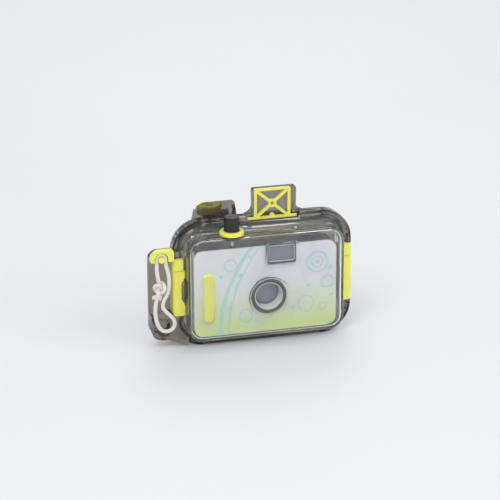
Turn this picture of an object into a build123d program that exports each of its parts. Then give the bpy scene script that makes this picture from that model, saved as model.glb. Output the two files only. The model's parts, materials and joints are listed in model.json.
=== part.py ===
from build123d import *
import math
import os

# Compact film camera in its underwater housing.
# Millimetres. X runs to the right as the lens looks at the viewer, Y runs from the front of the
# housing to its back, Z is up. The origin is on the ground under the middle of the housing, and
# Y = 0 is the sealing plane between the clear front shell and the smoke back shell.

# Fits and gaps
running_gap = 0.05
slide_gap = 0.1
part_gap = 0.3

# Camera inside the housing
camera_width = 111.0
camera_height = 68.4
camera_corner = 7.0
camera_front = 15.0
camera_back = 13.4
camera_wall = 1.5
camera_shift = -0.5
top_cover_height = 3.6
chassis_inset = 4.1
chassis_back_inset = 1.2
chamber_floor = 4.0
panel_thickness = 0.4
screw_inset = 6.0
screw_radius = 1.0
screw_head_radius = 1.9
screw_head_height = 1.2
screw_length = 8.0

# Housing walls, and the room they leave round the camera
wall = 2.2
room_beside = 2.8
room_below = 0.8
room_above = 8.4
room_in_front = 3.8
room_behind = 7.4
tub_corner = 11.0
tub_edge = 3.5
boss_height = 0.8
boss_width = 1.2
back_edge = 5.0
rib_thickness = 1.6
support_inset = 19.0
support_step = 24.0
support_height = 52.0
support_front = 3.0
support_back = 9.0

# Rim round the tub, seen from the front, and the flange of the clear shell that lies in it
rim_side = 9.5
rim_below = 8.0
rim_above = 10.0
rim_corner = 24.0
rim_front = 4.4
rim_back = 3.4
rim_lip = 3.2
flange_front = 3.8
seal_gap = 0.4

# Feet of the back shell
foot_x = 34.0
foot_width = 14.0
foot_front = 3.0

# Gasket in its groove round the tub
gasket_offset = 1.9
gasket_width = 2.6
gasket_depth = 1.8

# Side latches and their pins
latch_rise = 18.3
latch_height = 44.9
latch_thickness = 2.8
latch_skin = 3.5
latch_tip_gap = 0.4
latch_waist_inset = 2.6
latch_block_inset = 1.1
latch_foot_height = 8.5
latch_bar_low = 30.8
latch_bar_high = 35.6
latch_taper = 5.0
latch_edge = 2.6
latch_corner = 2.2
latch_groove = 0.8
pin_radius = 1.0
barrel_radius = 2.0
ear_thickness = 3.0
catch_start = 0.5
catch_knee = 2.1
catch_foot = 0.5
catch_first_slope = 27.0
catch_second_slope = 56.0

# Wing on the left side, with the pocket that the left latch swings into
wing_width = 16.2
wing_bottom = 6.6
wing_foot = 0.6
wing_above_latch = 3.8
wing_corner = 8.0
wing_back_edge = 1.8
wing_slope_width = 12.0
pocket_reach = 14.0
pocket_depth = 3.2
pocket_back = 2.6

# Strap lug and wrist cord
lug_depth = 6.0
lug_corner = 7.0
lug_height = 8.8
lug_inset = 0.5
lug_overhang = 1.0
post_inset = 7.1
post_drop = 6.7
post_radius = 1.6
post_head = 0.9
cord_diameter = 3.0
cord_y = -8.4
cord_gap = 0.3
knot_x = -80.6
knot_z = 49.6
knot_width = 10.2
knot_height = 14.2
knot_depth = 7.8

# Shutter button on the tub's top
button_inset = 30.6
button_radius = 5.8
button_height = 14.0
button_edge = 1.6
button_travel = 2.0
button_roof = 2.0
ring_radius = 9.4
ring_height = 3.0
ring_inset = 0.2
gland_radius = 4.2
gland_height = 6.6
gland_flange = 1.8
stem_radius = 1.5
clip_radius = 3.0
clip_thickness = 0.8
seal_wire = 0.55
spring_wire = 0.6
spring_radius = 2.9
spring_turns = 3

# Winding knob, its shaft and the wheel that turns the camera's thumbwheel
knob_inset = 20.0
knob_overhang = 6.0
knob_radius = 10.0
knob_lift = 7.0
knob_height = 7.5
knob_ribs = 26
knob_dish = 3.8
shaft_radius = 1.5
wind_gland_radius = 3.3
wind_gland_height = 3.2
drive_wheel_radius = 3.2
drive_wheel_height = 4.0

# Guard wall in front of the knob
guard_left_of_knob = 14.5
guard_right_of_knob = 20.4
guard_height = 21.4
guard_front = 2.4
guard_depth = 12.0
guard_wall = 2.0
guard_corner = 9.0
guard_left_foot = 4.0
guard_left_slant = 3.6
guard_left_round = 7.0
guard_right_foot = 4.0
guard_right_slant = 4.0
guard_right_round = 4.0

# Folding sight frame in its hood
sight_x = 9.2
sight_width = 28.4
sight_height = 23.3
sight_axis_y = 1.2
sight_thickness = 2.4
sight_bar_radius = 1.25
sight_bar_length = 38.4
sight_side = 2.2
sight_cross = 2.2
sight_eye_radius = 3.2
sight_eye_hole = 1.3
sight_bump_radius = 2.0
hood_wall = 1.9
hood_left_wall = 0.9
hood_room = 2.2
hood_front = 0.6
hood_back = 5.6
hood_foot_radius = 6.0
recess_rise = 4.2

# Lens
lens_right_of_middle = 2.0
lens_rise = 29.0
bezel_radius = 14.0
bezel_height = 3.3
cup_radius = 10.9
cup_rear = 9.8
cup_wall = 0.5
cup_lip = 0.5
lens_depth = 6.4
front_lens_radius = 9.4
front_lens_thickness = 1.4
rear_lens_radius = 5.2
rear_lens_thickness = 1.6
aperture_radius = 1.8
shutter_radius = 12.6
shutter_gap = 0.3
plate_thickness = 0.5
shutter_plate_thickness = 1.5
blade_radius = 3.0
blade_pivot_x = 8.0
blade_pivot_z = 2.0
blade_pin_radius = 0.8

# Viewfinder
finder_right_of_lens = 10.0
finder_drop = 5.9
finder_width = 23.0
finder_height = 17.0
finder_proud = 2.2
finder_glass_width = 18.4
finder_glass_height = 11.2
finder_glass_thickness = 1.0
finder_step = 0.9
eyepiece_width = 9.0
eyepiece_height = 8.0

# Grip bar on the camera's front
grip_inset = 11.15
grip_width = 8.8
grip_rise = 11.4
grip_length = 39.5
grip_depth = 2.8

# Film transport
spool_inset = 16.5
spool_radius = 5.5
spool_flange = 2.0
spool_pin_radius = 1.4
thumbwheel_radius = 10.0
thumbwheel_height = 3.6
thumbwheel_drop = 0.7
thumbwheel_teeth = 48
cassette_inset = 16.7
cassette_y = -0.6
cassette_radius = 12.9
film_width = 36.0
film_height = 24.0
sprocket_right_of_spool = 17.0
sprocket_y = 6.4
sprocket_radius = 4.6
sprocket_teeth = 8
sprocket_pin_radius = 0.8
counter_left_of_sprocket = 1.5
counter_y = 4.5
counter_radius = 4.6
counter_window_radius = 1.6
rewind_radius = 7.5
rewind_height = 2.6
rewind_shaft_radius = 2.0
crank_width = 4.4
pressure_margin_x = 3.6
pressure_margin_z = 4.0
pressure_thickness = 0.6
pressure_gap = 0.5
spring_plate_width = 24.0
spring_plate_height = 6.0

# Camera's release button and lever
release_radius = 2.0
release_proud = 1.3
release_depth = 3.0
lever_width = 3.2
lever_thickness = 1.4
lever_rise = 9.0
lever_arm = 2.0

# Places that follow from the sizes above
camera_left = camera_shift - camera_width / 2
camera_right = camera_shift + camera_width / 2
tub_bottom = rim_below
camera_bottom = tub_bottom + wall + room_below
camera_top = camera_bottom + camera_height
camera_middle = (camera_bottom + camera_top) / 2
cover_seam = camera_top - top_cover_height
chassis_front = camera_front - chassis_inset
chassis_back = camera_back - camera_wall - chassis_back_inset
panel_front = camera_front + panel_thickness
inner_width = camera_width + 2 * room_beside
inner_top = camera_top + room_above
inner_back = camera_back + room_behind
inner_corner = tub_corner - wall
tub_width = inner_width + 2 * wall
tub_top = inner_top + wall
tub_height = tub_top - tub_bottom
tub_middle = (tub_bottom + tub_top) / 2
tub_depth = camera_front + room_in_front + wall
inner_height = tub_height - 2 * wall
back_depth = inner_back + wall
rim_width = tub_width + 2 * rim_side
rim_height = tub_top + rim_above
rim_middle = rim_height / 2
lip_inset = rim_lip + part_gap
flange_width = rim_width - 2 * lip_inset
flange_height = rim_height - 2 * lip_inset
flange_corner = rim_corner - lip_inset
latch_bottom = tub_bottom + latch_rise
latch_top = latch_bottom + latch_height
latch_front = flange_front + latch_skin
latch_tip_x = tub_width / 2 + latch_tip_gap
latch_waist_x = latch_tip_x + latch_waist_inset
latch_block_x = latch_tip_x + latch_block_inset
notch_low = latch_bottom - part_gap
notch_high = latch_top + part_gap
notch_x = flange_width / 2
pin_x = rim_width / 2 - latch_thickness
pin_y = rim_back + barrel_radius + 0.2
pin_low = notch_low - ear_thickness
pin_high = notch_high + ear_thickness
wing_left = -rim_width / 2 - wing_width
wing_top = latch_top + wing_above_latch
pocket_left = -pin_x - pocket_reach
pocket_floor = pin_y + pocket_depth
wing_back = pocket_floor + pocket_back
lug_left = wing_left - lug_overhang
lug_right = -rim_width / 2 + lug_inset
lug_bottom = latch_top + 2 * part_gap
lug_top = lug_bottom + lug_height
post_x = wing_left + post_inset
post_z = lug_top - post_drop
button_x = camera_left + button_inset
button_y = ring_radius + ring_inset - tub_depth
button_top = tub_top + button_height
button_low = tub_top + ring_height - 0.4
gland_top = tub_top + gland_height
skirt_roof = gland_top + button_travel + button_edge
knob_x = camera_left + knob_inset
knob_y = back_depth - knob_overhang
knob_bottom = tub_top + knob_lift
knob_top = knob_bottom + knob_height
guard_left = knob_x - guard_left_of_knob
guard_right = knob_x + guard_right_of_knob
guard_top = tub_top + guard_height
sight_left = sight_x - sight_width / 2
sight_right = sight_x + sight_width / 2
recess_floor = tub_top + recess_rise
sight_axis_z = recess_floor + sight_bar_radius + 1.5 * part_gap
sight_top = sight_axis_z + sight_height
hood_left = sight_left - part_gap - hood_left_wall
hood_right = sight_right + part_gap + hood_room + hood_wall
hood_top = sight_top + part_gap
recess_left = sight_x - sight_bar_length / 2 - 4 * part_gap
recess_right = sight_x + sight_bar_length / 2 + 4 * part_gap
lens_x = camera_shift + lens_right_of_middle
lens_z = camera_bottom + lens_rise
bezel_front = camera_front + bezel_height
lens_floor = camera_front - lens_depth
stop_front = -lens_floor + front_lens_thickness
shutter_seat = stop_front + 2 * plate_thickness + 2 * shutter_gap + shutter_plate_thickness + 1.1
finder_x = lens_x + finder_right_of_lens
finder_z = camera_top - finder_drop
finder_front = camera_front + finder_proud
grip_x = camera_left + grip_inset
grip_bottom = camera_bottom + grip_rise
grip_top = grip_bottom + grip_length
spool_x = camera_left + spool_inset
wheel_reach = drive_wheel_radius + thumbwheel_radius + running_gap
spool_y = knob_y - math.sqrt(wheel_reach**2 - (knob_x - spool_x) ** 2)
thumbwheel_z = cover_seam - thumbwheel_height - thumbwheel_drop
drive_wheel_z = thumbwheel_z + thumbwheel_height / 2 - drive_wheel_height / 2
cassette_x = camera_right - cassette_inset
sprocket_x = spool_x + sprocket_right_of_spool
counter_x = sprocket_x - counter_left_of_sprocket
chamber_low = camera_bottom + chamber_floor
chamber_high = thumbwheel_z - 1.6
counter_window_y = counter_y + counter_radius - 2.2


def slab(width, height, corner, front, back, x=0.0, z=0.0):
    """Plate with rounded corners that stands in the XZ plane from Y=front to Y=back."""
    outline = Plane.XZ * Pos(x, z) * RectangleRounded(width, height, corner)
    return Pos(0, back, 0) * extrude(outline, back - front)


def block(x0, x1, y0, y1, z0, z1):
    """Box between two corners."""
    return Pos((x0 + x1) / 2, (y0 + y1) / 2, (z0 + z1) / 2) * Box(x1 - x0, y1 - y0, z1 - z0)


def rod_z(radius, z0, z1, x, y):
    """Upright cylinder."""
    return Pos(x, y, (z0 + z1) / 2) * Cylinder(radius, z1 - z0)


def rod_y(radius, y0, y1, x, z):
    """Cylinder that lies along Y."""
    return Pos(x, (y0 + y1) / 2, z) * Rot(90, 0, 0) * Cylinder(radius, y1 - y0)


def rod_x(radius, x0, x1, y, z):
    """Cylinder that lies along X."""
    return Pos((x0 + x1) / 2, y, z) * Rot(0, 90, 0) * Cylinder(radius, x1 - x0)


def prism_y(points, front, back):
    """Outline of (x, z) points, carried from Y=front to Y=back."""
    face = Plane.XZ * Polygon(*points)
    return Pos(0, front, 0) * extrude(face, back - front, dir=(0, 1, 0))


def prism_z(points, z0, z1):
    """Outline of (x, y) points, carried from Z=z0 to Z=z1."""
    return Pos(0, 0, z0) * extrude(Polygon(*points), z1 - z0, dir=(0, 0, 1))


def toothed_wheel(radius, depth, teeth, z0, z1, x, y):
    """Wheel whose rim has evenly spaced round-bottomed grooves."""
    wheel = rod_z(radius, z0, z1, x, y)
    groove = radius * math.pi / teeth * 0.5
    cuts = [
        rod_z(groove, z0 - 1, z1 + 1, x + (radius + groove - depth) * math.cos(turn), y
              + (radius + groove - depth) * math.sin(turn))
        for turn in [2 * math.pi * i / teeth for i in range(teeth)]
    ]
    return wheel - cuts


def both_sides(shape):
    """The shape and its mirror image across the middle plane X = 0."""
    return [shape, mirror(shape, about=Plane.YZ)]


def catch_profile(gap=0.0):
    """Points (x, y) of the sloped catch on the front flange, moved out by a gap."""
    first = math.radians(catch_first_slope)
    second = math.radians(catch_second_slope)
    start = (tub_width / 2 + catch_start, -flange_front)
    knee = (start[0] + catch_knee, start[1] + catch_knee * math.tan(first))
    end_y = -seal_gap - catch_foot
    end = (knee[0] + (end_y - knee[1]) / math.tan(second), end_y)
    corner = gap * math.tan((second - first) / 2)
    return [
        (start[0] + gap * math.sin(first), start[1] - gap * math.cos(first)),
        (knee[0] + gap * math.sin(first) + corner * math.cos(first),
         knee[1] - gap * math.cos(first) + corner * math.sin(first)),
        (end[0] + gap * math.sin(second), end[1] - gap * math.cos(second)),
    ]


def latch_notch():
    """Space cut from both flanges where a side latch closes round them."""
    return both_sides(block(notch_x, rim_width, -rim_front - 1, rim_back + 1, notch_low, notch_high))


def sight_recess(floor):
    """Space over a flange's top edge that the folded sight frame lies in."""
    return block(recess_left, recess_right, -rim_front - 1, sight_axis_y + sight_bar_radius + part_gap,
                 floor, rim_height + 1)


def back_shell():
    """Smoke back shell: rim, box, feet, wing, knob guard, sight hood and latch ears."""
    shell = slab(rim_width, rim_height, rim_corner, -rim_front, rim_back, 0, rim_middle)
    box = slab(tub_width, tub_height, tub_corner, 0, back_depth, 0, tub_middle)
    box = fillet(box.faces().sort_by(Axis.Y)[-1].outer_wire().edges(), back_edge)
    feet = both_sides(block(foot_x - foot_width / 2, foot_x + foot_width / 2, foot_front,
                            back_depth - back_edge, 0, tub_bottom + back_edge))
    shell = shell + box + feet + wing() + knob_guard() + sight_hood()
    ears = [
        block(tub_width / 2 - 1, pin_x + barrel_radius, rim_back - 1, pin_y + barrel_radius, low, high)
        for low, high in ((pin_low, notch_low), (notch_high, pin_high))
    ]
    shell = shell + [ear for side in ears for ear in both_sides(side)]
    shell = shell - slab(flange_width + 2 * part_gap, flange_height + 2 * part_gap,
                         flange_corner + part_gap, -rim_front - 1, 0, 0, rim_middle)
    shell = shell - slab(inner_width, inner_height, inner_corner, -1, inner_back, 0, tub_middle)
    shell = shell - gasket_ring(0.0, gasket_depth, gasket_width)
    shell = shell - latch_notch() - sight_recess(recess_floor)
    shell = shell - both_sides(rod_z(pin_radius, pin_low - 1, pin_high + 1, pin_x, pin_y))
    shell = shell - rod_z(wind_gland_radius + running_gap, inner_top - 1, tub_top + 1, knob_x, knob_y)
    return shell + camera_supports()


def gasket_ring(front, back, width):
    """Ring that follows the tub's outline at the gasket groove."""
    grow = 2 * gasket_offset
    outer = slab(tub_width + grow + width, tub_height + grow + width,
                 tub_corner + gasket_offset + width / 2, front, back, 0, tub_middle)
    inner = slab(tub_width + grow - width, tub_height + grow - width,
                 tub_corner + gasket_offset - width / 2, front - 1, back + 1, 0, tub_middle)
    return outer - inner


def wing():
    """Hollow wing on the left, with a deep pocket beside the latch."""
    joined_x = -tub_width / 2 + wall
    outline = [(joined_x, wing_top), (wing_left, wing_top), (wing_left, wing_bottom),
               (wing_left + wing_slope_width, wing_bottom), (joined_x, wing_foot)]
    solid = prism_y(outline, -rim_front, wing_back)
    left_edges = solid.edges().filter_by(Axis.Y).sort_by(Axis.X)[:2]
    solid = fillet(left_edges, wing_corner)
    plan = block(wing_left, joined_x + 1, -rim_front, wing_back, 0, wing_top + 1)
    back_left = plan.edges().filter_by(Axis.Z).sort_by(lambda edge: edge.center().Y - edge.center().X)[-1]
    solid = solid & fillet(back_left, wing_back_edge)
    hollow_points = [(-rim_width / 2 - wall, wing_top - wall), (wing_left + wall, wing_top - wall),
                     (wing_left + wall, wing_bottom + wall), (-rim_width / 2 - wall, wing_bottom + wall)]
    hollow = prism_y(hollow_points, -rim_front + wall, wing_back + 1)
    hollow_edges = hollow.edges().filter_by(Axis.Y).sort_by(Axis.X)[:2]
    hollow = fillet(hollow_edges, wing_corner - wall)
    inner = rim_width / 2 - 2 * pin_x + part_gap
    pocket = block(pocket_left, inner, -rim_front - 1, pocket_floor, notch_low, notch_high)
    lining = block(wing_left - 1, inner, -rim_front - 1, wing_back + 1, notch_low - wall, notch_high + wall)
    return solid - (hollow - lining) - pocket - slab(inner_width, inner_height, inner_corner, -rim_front - 1,
                                                     wing_back + 1, 0, tub_middle)


def knob_guard():
    """Low wall, open to the back, that stands round the front of the winding knob."""
    middle = (guard_left + guard_right) / 2
    width = guard_right - guard_left
    bottom = tub_top - wall
    plan = Pos(middle, guard_front + guard_depth) * RectangleRounded(width, 2 * guard_depth, guard_corner)
    hole = Pos(middle, guard_front + guard_depth) * RectangleRounded(
        width - 2 * guard_wall, 2 * guard_depth - 2 * guard_wall, guard_corner - guard_wall)
    ring = Pos(0, 0, bottom) * extrude(plan - hole, guard_top - bottom, dir=(0, 0, 1))
    front = [(guard_left, bottom), (guard_left, tub_top + guard_left_foot),
             (guard_left + guard_left_slant, guard_top), (guard_right - guard_right_slant, guard_top),
             (guard_right, tub_top + guard_right_foot), (guard_right, bottom)]
    shape = prism_y(front, guard_front, guard_front + guard_depth)
    left_top, right_top = shape.edges().filter_by(Axis.Y).sort_by(Axis.Z)[-2:].sort_by(Axis.X)
    shape = fillet(left_top, guard_left_round)
    right_top = shape.edges().filter_by(Axis.Y).sort_by(lambda edge: edge.center().X + edge.center().Z)[-1]
    return ring & fillet(right_top, guard_right_round)


def sight_hood():
    """Upright tray behind the sight frame, standing on the rim."""
    bottom = recess_floor - hood_wall
    height = hood_top - bottom
    outer = slab(hood_right - hood_left, 2 * height, 1.6, hood_front, hood_back,
                 (hood_left + hood_right) / 2, bottom)
    inner_left = hood_left + hood_left_wall
    inner_right = hood_right - hood_wall
    inner = slab(inner_right - inner_left, 3 * height, 0.8, hood_front - 1, hood_back - hood_wall,
                 (inner_left + inner_right) / 2, bottom)
    hood = (outer - inner) & block(hood_left - 1, hood_right + 1, hood_front - 1, hood_back + 1,
                                   bottom, hood_top + 1)
    side = hood_foot_radius
    for x, way in ((hood_left, -1), (hood_right, 1)):
        corner = [(x - way, rim_height - 1), (x + way * side, rim_height - 1), (x - way, rim_height + side)]
        gusset = prism_y(corner, hood_back - hood_wall, hood_back)
        hood = hood + (gusset - rod_y(side, 0, hood_back + 1, x + way * side, rim_height + side))
    foot = block(hood_left, hood_right, rim_back - 1, hood_back, tub_top - wall, bottom + 1)
    hood = hood + foot
    hole = sight_bar_radius + running_gap
    return hood - rod_x(hole, hood_left - 1, hood_right + 1, sight_axis_y, sight_axis_z)


def camera_supports():
    """Ribs inside the back shell that hold the camera from below, behind and beside."""
    half = rib_thickness / 2
    low = tub_bottom + wall - 0.5
    high = camera_bottom + support_height
    back = inner_back + 0.5
    side = inner_width / 2 + 0.5
    ribs = []
    for x in (camera_left + support_inset, camera_right - support_inset):
        ribs.append(block(x - half, x + half, 2, back, low, camera_bottom))
    for x in (lens_x - support_step, lens_x, lens_x + support_step):
        ribs.append(block(x - half, x + half, camera_back, back, chamber_low, high))
    for z in (camera_bottom + support_inset, cover_seam - support_inset):
        ribs.append(block(-side, camera_left, support_front, support_back, z - half, z + half))
        ribs.append(block(camera_right, side, support_front, support_back, z - half, z + half))
    return ribs


def front_shell():
    """Clear front shell: tub, flange, catches, lens port, finder port and button hole."""
    tub = slab(tub_width, tub_height, tub_corner, -tub_depth, -seal_gap, 0, tub_middle)
    tub = fillet(tub.faces().sort_by(Axis.Y)[0].outer_wire().edges(), tub_edge)
    shell = tub + slab(flange_width, flange_height, flange_corner, -flange_front, -seal_gap, 0, rim_middle)
    face = -tub_depth
    port_hole = bezel_radius + 1.0
    port = rod_y(port_hole + boss_width, face - boss_height, face + 1, lens_x, lens_z)
    port = port - rod_y(port_hole, face - 2, face + 2, lens_x, lens_z)
    window_wide = finder_width + 1.2
    window_high = finder_height + 0.2
    window = slab(window_wide + 2 * boss_width, window_high + 2 * boss_width, 2.0 + boss_width,
                  face - boss_height, face + 1, finder_x, finder_z)
    window = window - slab(window_wide, window_high, 2.0, face - 2, face + 2, finder_x, finder_z)
    shell = shell + port + window
    hollow = slab(inner_width, inner_height, inner_corner, face + wall, 1, 0, tub_middle)
    hollow = fillet(hollow.faces().sort_by(Axis.Y)[0].outer_wire().edges(), tub_edge - 0.7 * wall)
    shell = shell - hollow
    profile = catch_profile()
    in_front = -rim_front - 2
    cut = profile + [(profile[2][0], 1), (rim_width, 1), (rim_width, in_front), (profile[0][0], in_front)]
    shell = shell - both_sides(prism_z(cut, notch_low, notch_high))
    shell = shell - sight_recess(recess_floor)
    relief = ring_radius + part_gap
    shell = shell - rod_z(relief, tub_top, rim_height, button_x, button_y)
    return shell - rod_z(gland_radius + running_gap, inner_top - 1, tub_top + 1, button_x, button_y)


def latch():
    """Right side latch: hook over the flange, spine round its edge, barrel on the pin."""
    hook = catch_profile(part_gap)
    spine_x = notch_x + part_gap + 0.1
    tip = (latch_tip_x, hook[0][1] + (latch_tip_x - hook[0][0]) * math.tan(math.radians(catch_first_slope)))
    outer = rim_width / 2
    section = [tip, hook[1], hook[2], (spine_x, hook[2][1] + 0.4), (spine_x, pin_y), (outer, pin_y),
               (outer, -latch_front), (latch_tip_x, -latch_front)]
    body = prism_z(section, latch_bottom, latch_top)
    front_edge = body.edges().filter_by(Axis.Z).sort_by(lambda e: e.center().X - e.center().Y)[-1]
    body = fillet(front_edge, latch_edge)
    outer_half = rod_z(outer - pin_x, latch_bottom, latch_top, pin_x, pin_y)
    outer_half = outer_half - block(0, pin_x, -50, 50, latch_bottom - 1, latch_top + 1)
    body = body + outer_half + rod_z(barrel_radius, latch_bottom, latch_top, pin_x, pin_y)
    bar_low = latch_bottom + latch_bar_low
    bar_high = latch_bottom + latch_bar_high
    foot_high = latch_bottom + latch_foot_height
    front_view = [
        (latch_tip_x, latch_bottom), (latch_tip_x, foot_high), (latch_waist_x, foot_high + latch_taper),
        (latch_waist_x, bar_low - latch_taper), (latch_tip_x, bar_low), (latch_tip_x, bar_high),
        (latch_block_x, bar_high + latch_groove), (latch_block_x, latch_top), (outer, latch_top),
        (outer, latch_bottom)]
    mask = prism_y(front_view, -latch_front - 1, pin_y + 2 * latch_thickness)
    ends = [edge for edge in mask.edges().filter_by(Axis.Y)
            if edge.center().X > outer - 0.1 or abs(edge.center().Z - latch_bottom) < 0.1]
    body = body & fillet(ends, latch_corner)
    groove_back = latch_groove - latch_front
    body = body - block(0, outer + 1, -latch_front - 1, groove_back, bar_high, bar_high + latch_groove)
    return body - rod_z(pin_radius + running_gap, latch_bottom - 1, latch_top + 1, pin_x, pin_y)


def strap_lug():
    """Lug on the wing's corner, with a channel round the post that the cord hangs on."""
    back = -rim_front - running_gap
    front = back - lug_depth
    plate = block(lug_left, lug_right, front, back, lug_bottom, lug_top)
    corner = plate.edges().filter_by(Axis.Y).sort_by(lambda e: e.center().Z - e.center().X)[-1]
    plate = fillet(corner, lug_corner)
    rest = [edge for edge in plate.edges().filter_by(Axis.Y) if edge.center().X > lug_right - 0.5]
    plate = fillet(rest, 1.5)
    floor = back - (lug_depth - cord_diameter - 4 * cord_gap)
    outer_radius = post_radius + cord_diameter + 2 * cord_gap
    channel = rod_y(outer_radius, front - 1, floor, post_x, post_z) + block(
        post_x - outer_radius, post_x + outer_radius, front - 1, floor, lug_bottom - 1, post_z)
    post = rod_y(post_radius, front, back, post_x, post_z)
    head = rod_y(post_radius + post_head, front - post_head, front, post_x, post_z)
    return plate - channel + post + head


# Route of the wrist cord, by hand from the photograph: from the knot up the left strand, over the
# post, down the right strand, round the bottom and back up to the knot.
cord_route = [
    (-81.0, cord_y, 55.2),
    (-82.6, cord_y - 0.3, 62.6),
    (post_x - 3.3, cord_y, 70.0),
    (post_x - 3.3, cord_y, 77.2),
    (post_x + 3.3, cord_y, 77.2),
    (post_x + 3.3, cord_y, 69.6),
    (-73.8, cord_y - 0.7, 62.4),
    (-73.2, cord_y - 0.9, 54.2),
    (-74.3, cord_y - 0.4, 46.4),
    (-77.9, cord_y - 0.2, 40.2),
    (-78.8, cord_y - 0.4, 34.8),
    (-74.6, cord_y - 0.9, 29.8),
    (-70.2, cord_y - 1.0, 25.4),
    (-69.2, cord_y - 0.4, 20.6),
    (-71.2, cord_y + 0.3, 16.4),
    (-76.0, cord_y + 0.8, 14.6),
    (-80.6, cord_y + 0.8, 17.2),
    (-83.2, cord_y + 0.5, 23.4),
    (-84.4, cord_y + 0.2, 31.0),
    (-83.8, cord_y, 39.0),
    (-81.9, cord_y, 46.4),
]


def cord_tube(route, diameter, label):
    """Tube of straight runs and tangent arcs along a route; prints its length and radii."""
    points = [Vector(*point) for point in route]
    radii = []
    for before, here, after in zip(points, points[1:], points[2:]):
        half_turn = math.radians((here - before).get_angle(after - here)) / 2
        shorter = min((here - before).length, (after - here).length)
        radii.append(0.45 * shorter / math.tan(half_turn))
    path = FilletPolyline(*route, radius=radii)
    start = Plane(origin=points[0], z_dir=points[1] - points[0])
    tube = sweep(start * Circle(diameter / 2), path=path)
    section = math.pi * diameter**2 / 4
    print(f"{label}: length {path.length:.1f}, tightest radius {min(radii):.1f}, "
          f"volume over section times length {tube.volume / (section * path.length):.4f}")
    print(f"{label} radii:", " ".join(f"{radius:.1f}" for radius in radii))
    return tube


def least_self_gap(route, diameter):
    """Least clear distance between far-apart stretches of a cord, on sampled points."""
    samples = []
    for start, end in zip(route, route[1:]):
        for step in range(6):
            samples.append(Vector(*start) + (Vector(*end) - Vector(*start)) * (step / 6))
    gaps = [
        (samples[i] - samples[j]).length - diameter
        for i in range(len(samples)) for j in range(i + 16, len(samples))
    ]
    return min(gaps)


def cord_knot():
    """Overhand knot at the middle of the strap, with its two short cut ends."""
    ball = scale(Sphere(1.0), (knot_width / 2, knot_depth / 2, knot_height / 2))
    ball = Pos(knot_x, cord_y, knot_z) * ball
    tails = [
        ((knot_x - 1.0, cord_y, knot_z - 4.0), (knot_x - 6.0, cord_y + 0.4, knot_z - 6.4)),
        ((knot_x + 0.4, cord_y + 0.4, knot_z - 4.0), (knot_x + 0.2, cord_y + 2.0, knot_z - 9.0)),
    ]
    for start, end in tails:
        way = Vector(*end) - Vector(*start)
        tail = Plane(origin=start, z_dir=way) * Cylinder(
            cord_diameter / 2, way.length, align=(Align.CENTER, Align.CENTER, Align.MIN))
        ball = ball + tail
    return ball


def helix_spring(radius, wire, low, high, turns, x, y):
    """Round wire spring standing along Z."""
    pitch = (high - low - wire) / turns
    path = Helix(pitch, high - low - wire, radius)
    wire_face = Plane(origin=path @ 0, z_dir=path % 0) * Circle(wire / 2)
    return Pos(x, y, low + wire / 2) * sweep(wire_face, path=path, is_frenet=True)


def shutter_button():
    """Tall push button with a hollow skirt that slides over the gland."""
    cap = rod_z(button_radius, button_low, button_top, button_x, button_y)
    cap = fillet(cap.faces().sort_by(Axis.Z)[-1].edges(), button_edge)
    skirt = rod_z(gland_radius + part_gap, button_low - 1, skirt_roof, button_x, button_y)
    return cap - skirt - rod_z(stem_radius, button_low, button_top - button_roof, button_x, button_y)


def button_gland():
    """Flanged bush through the tub's top that guides the stem, with the seal's groove."""
    bush = rod_z(gland_radius, inner_top - gland_flange, gland_top, button_x, button_y)
    bush = bush + rod_z(gland_radius + 1.4, inner_top - gland_flange, inner_top, button_x, button_y)
    bush = bush - rod_z(stem_radius + running_gap, inner_top - 5, gland_top + 1, button_x, button_y)
    return bush - seal_groove(stem_radius, button_x, button_y)


def winding_gland():
    """Flanged bush in the back shell's top that the winding shaft turns in."""
    high = tub_top + wind_gland_height
    bush = rod_z(wind_gland_radius, inner_top, high, knob_x, knob_y)
    bush = bush + rod_z(wind_gland_radius + 1.6, tub_top, high, knob_x, knob_y)
    bush = bush - rod_z(shaft_radius + running_gap, inner_top - 1, high + 1, knob_x, knob_y)
    return bush - seal_groove(shaft_radius, knob_x, knob_y)


def seal_groove(radius, x, y):
    """Groove round a shaft for its sealing ring, level with the wall that the shaft passes."""
    return rod_z(radius + 2 * seal_wire + running_gap, tub_top + 0.2, tub_top + 0.8 + 2 * seal_wire, x, y)


def seal_ring(radius, x, y):
    """Rubber ring that lies in the groove and touches the shaft."""
    return Pos(x, y, tub_top + 0.5 + seal_wire) * Torus(radius + seal_wire + running_gap, seal_wire)


def winding_knob():
    """Ribbed winding knob with a recessed top."""
    edge = 1.2
    knob = toothed_wheel(knob_radius, 0.7, knob_ribs, knob_bottom, knob_top - edge, knob_x, knob_y)
    crown = rod_z(knob_radius - edge, knob_top - edge - 0.1, knob_top, knob_x, knob_y)
    crown = fillet(crown.faces().sort_by(Axis.Z)[-1].edges(), 0.6 * edge)
    knob = knob + crown - rod_z(knob_radius - knob_dish, knob_top - 1.6, knob_top + 1, knob_x, knob_y)
    return knob - rod_z(shaft_radius, knob_bottom - 1, knob_top, knob_x, knob_y)


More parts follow.
